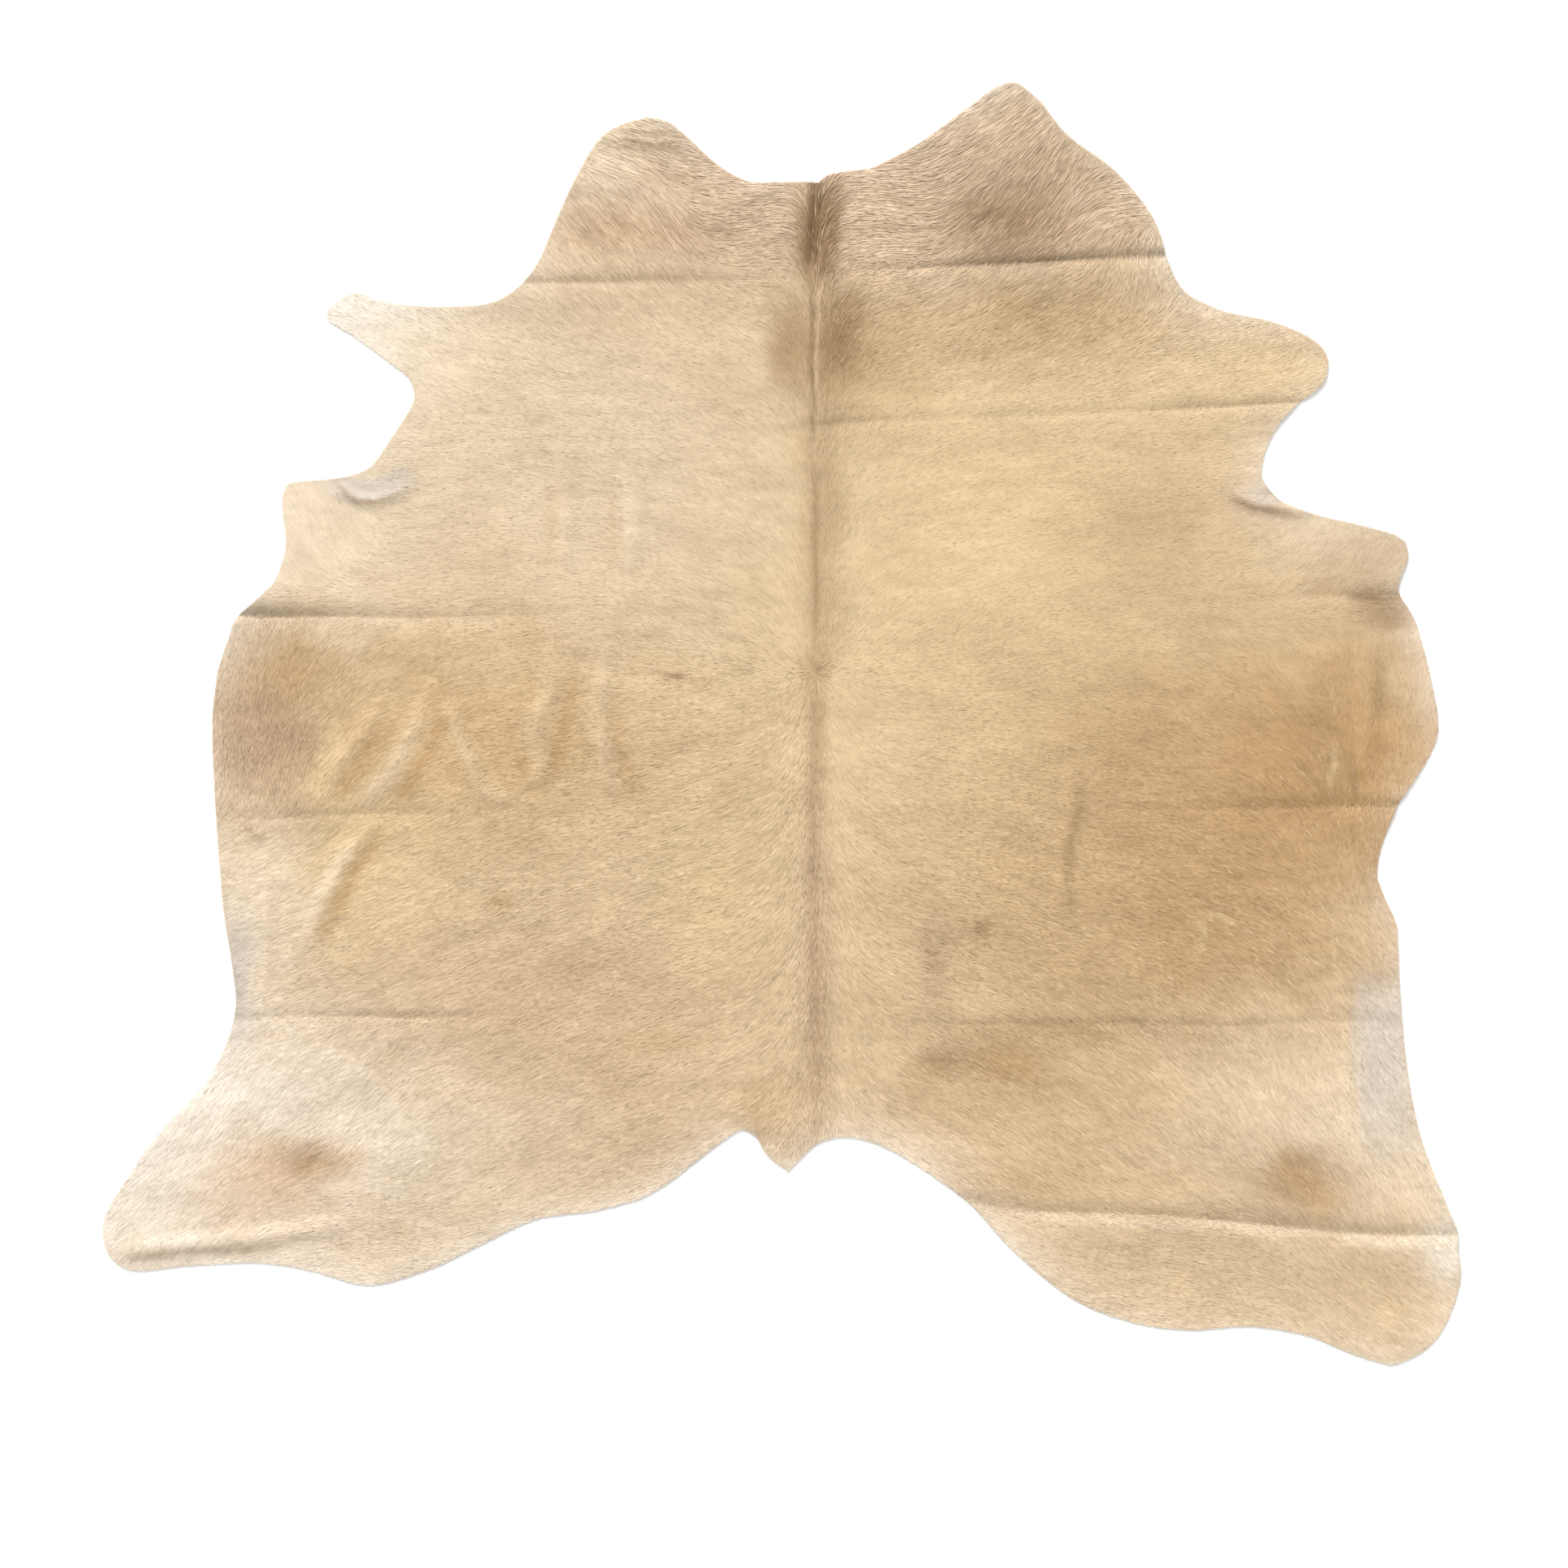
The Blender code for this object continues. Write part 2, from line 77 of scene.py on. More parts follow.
# The packing folds run across the hide. Each has knots from left to right: its place in x and
# y, the rise of its shoulders, and the painted shade along its line, where the slope above the
# line faces away from the light. Its reach is how far its shoulders go towards the neck and the
# tail. Its painted shade is deepest at the first number above the line, and fades over the
# second number upwards and over the third downwards.
folds = {
    "neck": {
        "reach": (0.024, 0.018), "shade": (0.002, 0.011, 0.003),
        "knots": (
            (-0.42, 0.713, 0.003, 0.2), (-0.3, 0.714, 0.003, 0.26), (-0.2, 0.717, 0.0022, 0.22),
            (-0.08, 0.718, 0.0016, 0.12), (0.05, 0.726, 0.001, 0.05), (0.17, 0.735, 0.0028, 0.1),
            (0.3, 0.741, 0.0054, 0.3), (0.4, 0.745, 0.0062, 0.34), (0.5, 0.751, 0.0068, 0.32),
            (0.62, 0.757, 0.007, 0.25))},
    "chest": {
        "reach": (0.02, 0.018), "shade": (0.002, 0.01, 0.003),
        "knots": (
            (-0.6, 0.455, 0.0001, 0.0), (-0.15, 0.47, 0.0002, 0.0), (0.0, 0.475, 0.0013, 0.08),
            (0.1, 0.487, 0.0028, 0.14), (0.2, 0.492, 0.0015, 0.07), (0.4, 0.5, 0.0013, 0.07),
            (0.5, 0.503, 0.0016, 0.08), (0.6, 0.507, 0.0025, 0.09), (0.7, 0.512, 0.0036, 0.12),
            (0.835, 0.52, 0.0045, 0.14))},
    "shoulder": {
        "reach": (0.022, 0.018), "shade": (0.004, 0.02, 0.005),
        "knots": (
            (-0.87, 0.175, 0.008, 0.42), (-0.8, 0.174, 0.007, 0.38), (-0.7, 0.174, 0.0045, 0.2),
            (-0.6, 0.171, 0.0034, 0.13), (-0.5, 0.173, 0.0024, 0.08), (-0.25, 0.174, 0.0002, 0.01),
            (0.1, 0.173, 0.0003, 0.02), (0.5, 0.184, 0.0004, 0.03), (0.7, 0.197, 0.0006, 0.05),
            (0.8, 0.203, 0.0015, 0.06), (0.9, 0.207, 0.003, 0.08), (0.995, 0.208, 0.0045, 0.12))},
    "loin": {
        "reach": (0.018, 0.016), "shade": (0.002, 0.012, 0.004),
        "knots": (
            (-0.88, -0.152, 0.0022, 0.02), (-0.8, -0.15, 0.0024, 0.05), (-0.75, -0.146, 0.0028, 0.12),
            (-0.65, -0.143, 0.0026, 0.12), (-0.5, -0.142, 0.0008, 0.03), (0.0, -0.14, 0.0002, 0.0),
            (0.5, -0.14, 0.0006, 0.02), (0.8, -0.136, 0.002, 0.12), (0.9, -0.131, 0.004, 0.16),
            (0.99, -0.132, 0.0045, 0.18))},
    "rump": {
        "reach": (0.018, 0.016), "shade": (0.005, 0.007, 0.003),
        "knots": (
            (-0.88, -0.478, 0.0022, 0.08), (-0.8, -0.472, 0.0024, 0.1), (-0.7, -0.473, 0.0034, 0.15),
            (-0.6, -0.476, 0.004, 0.18), (-0.52, -0.472, 0.0026, 0.1), (-0.4, -0.474, 0.0006, 0.03),
            (0.0, -0.483, 0.0001, 0.0), (0.2, -0.487, 0.0008, 0.04), (0.3, -0.487, 0.002, 0.09),
            (0.45, -0.486, 0.0024, 0.1), (0.55, -0.484, 0.0024, 0.1), (0.7, -0.489, 0.0026, 0.1),
            (0.9, -0.48, 0.0016, 0.06))},
    "thigh": {
        "reach": (0.026, 0.02), "shade": (0.006, 0.02, 0.007),
        "knots": (
            (0.14, -0.766, 0.0, 0.0), (0.23, -0.77, 0.0006, 0.03), (0.32, -0.777, 0.0026, 0.13),
            (0.4, -0.789, 0.0036, 0.16), (0.5, -0.791, 0.0046, 0.12), (0.6, -0.793, 0.0046, 0.12),
            (0.7, -0.802, 0.005, 0.14), (0.8, -0.812, 0.0056, 0.18), (0.9, -0.822, 0.0062, 0.22),
            (1.0, -0.826, 0.0066, 0.17), (1.09, -0.826, 0.007, 0.12))},
}
lying = {
    "foldSwell": 1.6,       # how steeply a shoulder rises beside its fold's line
    "foldSpan": 3,          # reaches over which it sinks again
    "foldEnd": 6,           # reaches after which it lies flat
    "pathRoom": 3,          # reaches beside a wrinkle or a coloured line that it covers
    "pathEnds": 4,          # how suddenly a wrinkle or a coloured line fades at its ends
    "curveRounds": 2,       # each halves the steps along a path's curve
    "floorTouch": 0.0004,   # the skin settles onto the floor below this lift
    "farAway": 9.0,         # farther than any place on the hide
}

# Wrinkles: points from end to end, rise, and half width of the crest; troughs have a negative rise
wrinkles = {
    "left flank": (
        ((-0.532, 0.05), (-0.525, -0.012), (-0.503, -0.06), (-0.484, -0.104), (-0.437, -0.13)),
        0.0052, 0.012),
    "left ribs": (
        ((-0.37, 0.165), (-0.374, 0.055), (-0.395, 0.012), (-0.396, -0.028), (-0.388, -0.062),
         (-0.402, -0.11)), 0.0056, 0.016),
    "left back": (
        ((-0.283, 0.165), (-0.286, 0.08), (-0.294, 0.017), (-0.289, -0.028), (-0.285, -0.08),
         (-0.27, -0.128)), 0.0056, 0.016),
    "left folds": (((-0.56, 0.075), (-0.582, 0.017), (-0.632, -0.08), (-0.684, -0.135)), 0.004, 0.016),
    "left pleat": (((-0.64, 0.05), (-0.672, -0.01), (-0.722, -0.07), (-0.738, -0.12)), 0.0036, 0.014),
    "left belly": (((-0.65, -0.15), (-0.7, -0.215), (-0.748, -0.3), (-0.768, -0.375)), 0.0042, 0.015),
    "left shoulder": (
        ((-0.379, 0.456), (-0.355, 0.435), (-0.347, 0.395), (-0.352, 0.3), (-0.36, 0.23)),
        0.0034, 0.017),
    "left shoulder blade": (((-0.25, 0.43), (-0.243, 0.35), (-0.25, 0.24)), 0.0032, 0.018),
    "left armpit": (((-0.735, 0.382), (-0.69, 0.362), (-0.64, 0.362), (-0.592, 0.385)), 0.006, 0.012),
    "right armpit": (((0.725, 0.376), (0.765, 0.356), (0.82, 0.346), (0.862, 0.34)), 0.006, 0.012),
    "right ribs": (((0.462, -0.07), (0.466, -0.15), (0.45, -0.215), (0.456, -0.32)), 0.0036, 0.014),
    "right flank": (((0.9, -0.02), (0.88, -0.06), (0.879, -0.118)), 0.004, 0.012),
    "right belly": (((0.955, 0.15), (0.946, 0.06), (0.952, -0.01), (0.935, -0.095)), 0.0045, 0.018),
    "left hind leg": (
        ((-1.085, -0.851), (-1.004, -0.846), (-0.932, -0.839), (-0.84, -0.83), (-0.768, -0.82),
         (-0.69, -0.809)), 0.0085, 0.016),
    "left neck tip": (((-0.29, 0.944), (-0.216, 0.938), (-0.14, 0.932)), 0.004, 0.009),
    "left neck tip above": (((-0.265, 0.962), (-0.19, 0.957)), 0.002, 0.006),
    "right of the tail": (((0.158, -0.6), (0.166, -0.64), (0.176, -0.668)), 0.0036, 0.012),
    "left of the tail": (((-0.08, -0.59), (-0.062, -0.63), (-0.04, -0.672)), 0.004, 0.012),
    "small flank ridge": (((-0.471, -0.08), (-0.454, -0.108), (-0.43, -0.134)), 0.0022, 0.008),
    "flank swirl": (((-0.876, -0.15), (-0.858, -0.176), (-0.832, -0.184)), 0.003, 0.008),
    "belly line": (((-0.838, -0.2), (-0.832, -0.345), (-0.838, -0.44)), 0.002, 0.01),
    "right belly line": (((0.905, -0.4), (0.914, -0.52), (0.918, -0.69)), 0.002, 0.01),
    "knee dip": (((-0.8, -0.742), (-0.76, -0.756), (-0.715, -0.756)), -0.0014, 0.01),
    "spine": (((0.053, 0.87), (0.052, 0.6), (0.053, 0.3)), -0.0016, 0.008),
}


# A fold's line, rise and painted shade at x
def foldAt(name, x):
    knots = np.array(folds[name]["knots"])
    return [np.interp(x, knots[:, 0], column) for column in knots[:, 1:].T]


def foldLift(x, y):
    lift = np.zeros_like(x)
    for name, fold in folds.items():
        line, rise, _ = foldAt(name, x)
        side = y - line
        reaches = np.abs(side) / np.where(side > 0, *fold["reach"])
        rising = 1 - np.exp(-lying["foldSwell"] * reaches)
        sinking = np.exp(-(reaches / lying["foldSpan"]) ** 2)
        lift += rise * rising * sinking * np.clip(1 - (reaches / lying["foldEnd"]) ** 2, 0, 1)
    return lift


# How far along a line each place is, from 0 to 1, and how far from the line it lies
def besideLine(x, y, start, end):
    runX, runY = end[0] - start[0], end[1] - start[1]
    along = ((x - start[0]) * runX + (y - start[1]) * runY) / (runX ** 2 + runY ** 2)
    along = np.clip(along, 0, 1)
    return along, np.hypot(x - start[0] - runX * along, y - start[1] - runY * along)


# Where a smooth curve through four points lies, halfway between the middle two
def halfwayOn(before, start, end, beyond):
    return (9 * (start + end) - before - beyond) / 16


# The smooth curve through some points
def curved(points):
    path = np.array(points, float)
    for _ in range(lying["curveRounds"]):
        before = np.vstack((2 * path[0] - path[1], path))[:-2]
        beyond = np.vstack((path, 2 * path[-1] - path[-2]))[2:]
        halfway = halfwayOn(before, path[:-1], path[1:], beyond)
        path = np.vstack((np.stack((path[:-1], halfway), 1).reshape(-1, 2), path[-1:]))
    return path


# The places near a path, how fully each takes part (less near its ends), and how far off each is
def besidePath(x, y, points, reach):
    path = curved(points)
    room = lying["pathRoom"] * reach
    low, high = path.min(axis=0) - room, path.max(axis=0) + room
    near = np.flatnonzero((x > low[0]) & (x < high[0]) & (y > low[1]) & (y < high[1]))
    along, off = np.zeros(len(near)), np.full(len(near), lying["farAway"])
    for number, (start, end) in enumerate(zip(path, path[1:])):
        share, distance = besideLine(x[near], y[near], start, end)
        closer = distance < off
        along[closer] = (number + share[closer]) / (len(path) - 1)
        off[closer] = distance[closer]
    return near, 1 - (2 * along - 1) ** lying["pathEnds"], off


def wrinkleLift(x, y):
    lift = np.zeros_like(x)
    for points, rise, reach in wrinkles.values():
        near, middle, off = besidePath(x, y, points, reach)
        lift[near] += rise * middle * np.exp(-(off / reach) ** 2)
    return lift


# Height of the skin's underside over the floor
def skinLift(x, y):
    return np.maximum(0, foldLift(x, y) + wrinkleLift(x, y) - lying["floorTouch"])


# The skin

skin = {
    "thickness": 0.0025,
    "column": 0.014,        # width of the grid's cells
    "row": 0.018,           # length of the cells between the folds
    "foldRows": (0.003, 0.007, 0.012, 0.018, 0.026, 0.036, 0.048),   # rows on both sides of a fold
    "rimRows": (0.002, 0.005),      # narrow rows inside the edge
    "edgeRounds": 2,        # each halves the steps along the edge
    "weld": 1e-5,           # points nearer than this are one
    "underside": -0.1,      # a face of the solid belongs to it when its normal's z is lower
    "flatSize": (2.195, 2.071),     # the cut hide, laid flat
    "area": 3.08,
}


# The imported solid's lower rim, in order round the hide
def rimOfSolid(node):
    shell = bmesh.new()
    shell.from_mesh(node.data)
    bmesh.ops.remove_doubles(shell, verts=shell.verts[:], dist=skin["weld"])
    shell.normal_update()
    upper = [face for face in shell.faces if face.normal.z > skin["underside"]]
    bmesh.ops.delete(shell, geom=upper, context="FACES")
    edge = next(edge for edge in shell.edges if edge.is_boundary)
    first, vert = edge.verts
    rim = [first.co.xy.copy()]
    while vert != first:
        rim.append(vert.co.xy.copy())
        edge = next(other for other in vert.link_edges if other.is_boundary and other != edge)
        vert = edge.other_vert(vert)
    shell.free()
    return np.array(rim)


# The rim's points, and one halfway between each two on the smooth curve through them
def refined(rim):
    halfway = halfwayOn(np.roll(rim, 1, 0), rim, np.roll(rim, -1, 0), np.roll(rim, -2, 0))
    return np.stack((rim, halfway), 1).reshape(-1, 2)


def edgeDistance(x, y, rim):
    nearest = np.full(len(x), lying["farAway"])
    for start, end in zip(rim, np.roll(rim, -1, axis=0)):
        nearest = np.minimum(nearest, besideLine(x, y, start, end)[1])
    return nearest


# The folds' places at x, with the ends of the hide before and after them
def foldLines(x):
    ends = np.full_like(x, cadHigh.y), np.full_like(x, cadLow.y)
    lines = [foldAt(name, x)[0] for name in folds]
    return np.stack([ends[0], *lines, ends[1]])


# The places' y once every fold is straight, at its level on the middle line, or back again
def straightened(x, y, back=False):
    lines = foldLines(x)
    level = foldLines(np.zeros_like(x))
    source, target = (level, lines) if back else (lines, level)
    place = y.copy()
    for upper in range(len(lines) - 1):
        share = (y - source[upper]) / (source[upper + 1] - source[upper])
        inside = (share >= 0) & (share <= 1)
        moved = target[upper] + (target[upper + 1] - target[upper]) * share
        place = np.where(inside, moved, place)
    return place


# Where the rows are cut: on each fold's line, close beside it, and evenly between the folds
def rowPlaces():
    neckEnd, *levels, tailEnd = foldLines(np.zeros(1))[:, 0]
    rows = list(levels)
    for step in skin["foldRows"]:
        rows += [level + step for level in levels] + [level - step for level in levels]
    starts = [neckEnd] + [level - step for level in levels]
    ends = [level + step for level in levels] + [tailEnd]
    for start, end in zip(starts, ends):
        count = max(1, round((start - end) / skin["row"]))
        rows += list(np.linspace(start, end, count + 1)[1:-1])
    return sorted(rows)


def straightenSheet(sheet, back=False):
    places = np.array([vert.co for vert in sheet.verts])
    for vert, y in zip(sheet.verts, straightened(places[:, 0], places[:, 1], back)):
        vert.co.y = y


# All of a bmesh, as the cuts want it
def allOf(shape):
    return shape.verts[:] + shape.edges[:] + shape.faces[:]


def faceUp(shape):
    shape.normal_update()
    if shape.faces[:][0].normal.z < 0:
        bmesh.ops.reverse_faces(shape, faces=shape.faces[:])


# The outline as a flat sheet, cut into cells whose rows follow the folds
def flatSheet(rim):
    sheet = bmesh.new()
    sheet.faces.new([sheet.verts.new((x, y, 0)) for x, y in rim])
    faceUp(sheet)
    inner = 0
    for row in skin["rimRows"]:
        middle = max(sheet.faces, key=lambda face: len(face.verts))
        bmesh.ops.inset_individual(sheet, faces=[middle], thickness=row - inner, use_even_offset=True)
        inner = row
    straightenSheet(sheet)
    columns = np.arange(cadLow.x + skin["column"] / 2, cadHigh.x, skin["column"])
    for places, turn in ((columns, (1, 0, 0)), (rowPlaces(), (0, 1, 0))):
        for place in places:
            bmesh.ops.bisect_plane(sheet, geom=allOf(sheet), plane_co=Vector(turn) * float(place),
                                   plane_no=turn, dist=skin["weld"])
    straightenSheet(sheet, back=True)
    return sheet


rim = rimOfSolid(frame["nodes"]["hide"])
for _ in range(skin["edgeRounds"]):
    rim = refined(rim)
sheet = flatSheet(rim)
print("flat sheet cut:", len(sheet.faces), "cells")


# The lie of the hair

# Places along and beside the body, in metres, and the way the hair points there, in degrees
# from +X. Each side of the spine is combed from its own strokes.
comb = {
    "spine": 0.053,         # the spine's line
    "whorl": 0.088,         # above it the hair points to the neck, below it to the tail
    "turn": 0.03,           # over which it turns round at the whorl
    "parting": ((-1.0, 0.075), (0.52, 0.07), (0.68, 0.05), (0.76, 0.028)),   # half width by y
    "blend": 0.07,          # strokes nearer than this share a place
    "streakSteps": 9,       # places along the hair whose numbers a streak averages
    "streakSpread": 0.25,   # how far the values of the streaks spread
    "right": (
        (0.22, 0.02, 350), (0.24, -0.14, 343), (0.24, -0.34, 340), (0.47, -0.07, 345),
        (0.47, -0.27, 338), (0.64, -0.21, 335), (0.44, -0.53, 325), (0.57, -0.6, 318),
        (0.83, -0.6, 303), (0.97, -0.73, 300), (0.97, -0.93, 320), (0.64, -0.9, 345),
        (0.24, -0.53, 332), (0.72, -0.01, 330), (0.82, -0.01, 310), (0.97, 0.06, 270),
        (0.97, -0.07, 270), (0.25, 0.19, 12), (0.25, 0.32, 10), (0.25, 0.52, 8),
        (0.44, 0.25, 0), (0.44, 0.45, 0), (0.64, 0.38, -3), (0.64, 0.58, 5),
        (0.18, 0.83, -15), (0.32, 0.82, 43), (0.36, 0.8, 50), (0.44, 0.86, 60),
        (0.28, 0.96, 30), (0.55, 0.84, -12), (0.37, 0.7, 25), (0.44, 0.65, 20),
        (0.57, 0.74, 90), (0.9, 0.3, 40),
    ),
    "left": (
        (-0.11, 0.02, 190), (-0.14, -0.14, 197), (-0.14, -0.34, 200), (-0.36, -0.07, 195),
        (-0.36, -0.27, 202), (-0.53, -0.21, 205), (-0.83, -0.21, 210), (-0.74, -0.4, 205),
        (-0.48, -0.53, 210), (-0.68, -0.6, 225), (-0.94, -0.6, 235), (-1.0, -0.73, 230),
        (-0.68, -0.84, 190), (-0.22, -0.67, 205), (-0.83, 0.06, 270), (-0.83, -0.07, 268),
        (-0.72, 0.02, 230), (-0.61, 0.02, 210), (-0.14, 0.19, 168), (-0.14, 0.32, 170),
        (-0.14, 0.52, 172), (-0.53, 0.38, 197), (-0.48, 0.28, 198), (-0.61, 0.58, 160),
        (-0.35, 0.25, 185), (-0.35, 0.45, 180), (-0.77, 0.34, 120), (0.0, 0.82, 205),
        (-0.07, 0.86, 180), (-0.19, 0.79, 125), (-0.3, 0.8, 130), (-0.26, 0.92, 165),
    ),
}


# Which way the hair points at each place, as two arrays
def hairFlow(x, y):
    off = x - comb["spine"]
    flowX, flowY = np.zeros_like(x), np.zeros_like(x)
    for side, strokes in ((off <= 0, comb["left"]), (off > 0, comb["right"])):
        for strokeX, strokeY, angle in strokes:
            weight = side * ((x - strokeX) ** 2 + (y - strokeY) ** 2 + comb["blend"] ** 2) ** -2
            flowX += weight * cos(radians(angle))
            flowY += weight * sin(radians(angle))
    size = np.hypot(flowX, flowY)
    along = np.exp(-np.abs(off) / np.interp(y, *zip(*comb["parting"])))
    flowX = flowX / size * (1 - along)
    flowY = flowY / size * (1 - along) + along * np.tanh((y - comb["whorl"]) / comb["turn"])
    size = np.maximum(np.hypot(flowX, flowY), 1e-6)
    return flowX / size, flowY / size


# Uneven values, 0 to 1, that run on along the hair: drawn numbers averaged along the flow
def streaks(x, y, cell, reach, seed):
    flowX, flowY = hairFlow(x, y)
    margin = 5      # cells round the hide
    count = [int(side / cell + 2 * reach / cell) + 2 * margin + 2 for side in (cadHigh - cadLow).xy]
    drawn = np.random.default_rng(seed).random(count)
    total = np.zeros_like(x)
    for step in np.linspace(-reach, reach, comb["streakSteps"]):
        across = (x + flowX * step - cadLow.x + reach) / cell + margin
        down = (y + flowY * step - cadLow.y + reach) / cell + margin
        column, row = across.astype(int), down.astype(int)
        across, down = across - column, down - row
        total += (drawn[column, row] * (1 - across) + drawn[column + 1, row] * across) * (1 - down)
        total += (drawn[column, row + 1] * (1 - across) + drawn[column + 1, row + 1] * across) * down
    return np.clip(0.5 + comb["streakSpread"] * (total - total.mean()) / total.std(), 0, 1)


# The colours of the coat

# Shades of the coat as they look on screen, 0 to 255, from pale to dark
shades = {
    "milk": (243, 233, 219),
    "cream": (232, 214, 187),
    "chalk": (204, 192, 180),
    "straw": (218, 191, 147),
    "linen": (216, 195, 164),
    "blush": (214, 188, 158),
    "sandy": (208, 182, 145),
    "honey": (203, 170, 126),
    "rose": (202, 172, 138),
    "fawn": (194, 163, 122),
    "tan": (181, 146, 102),
    "gold": (180, 142, 94),
    "taupe": (176, 147, 116),
    "bark": (154, 123, 86),
    "umber": (126, 97, 66),
    "soot": (100, 76, 50),
}

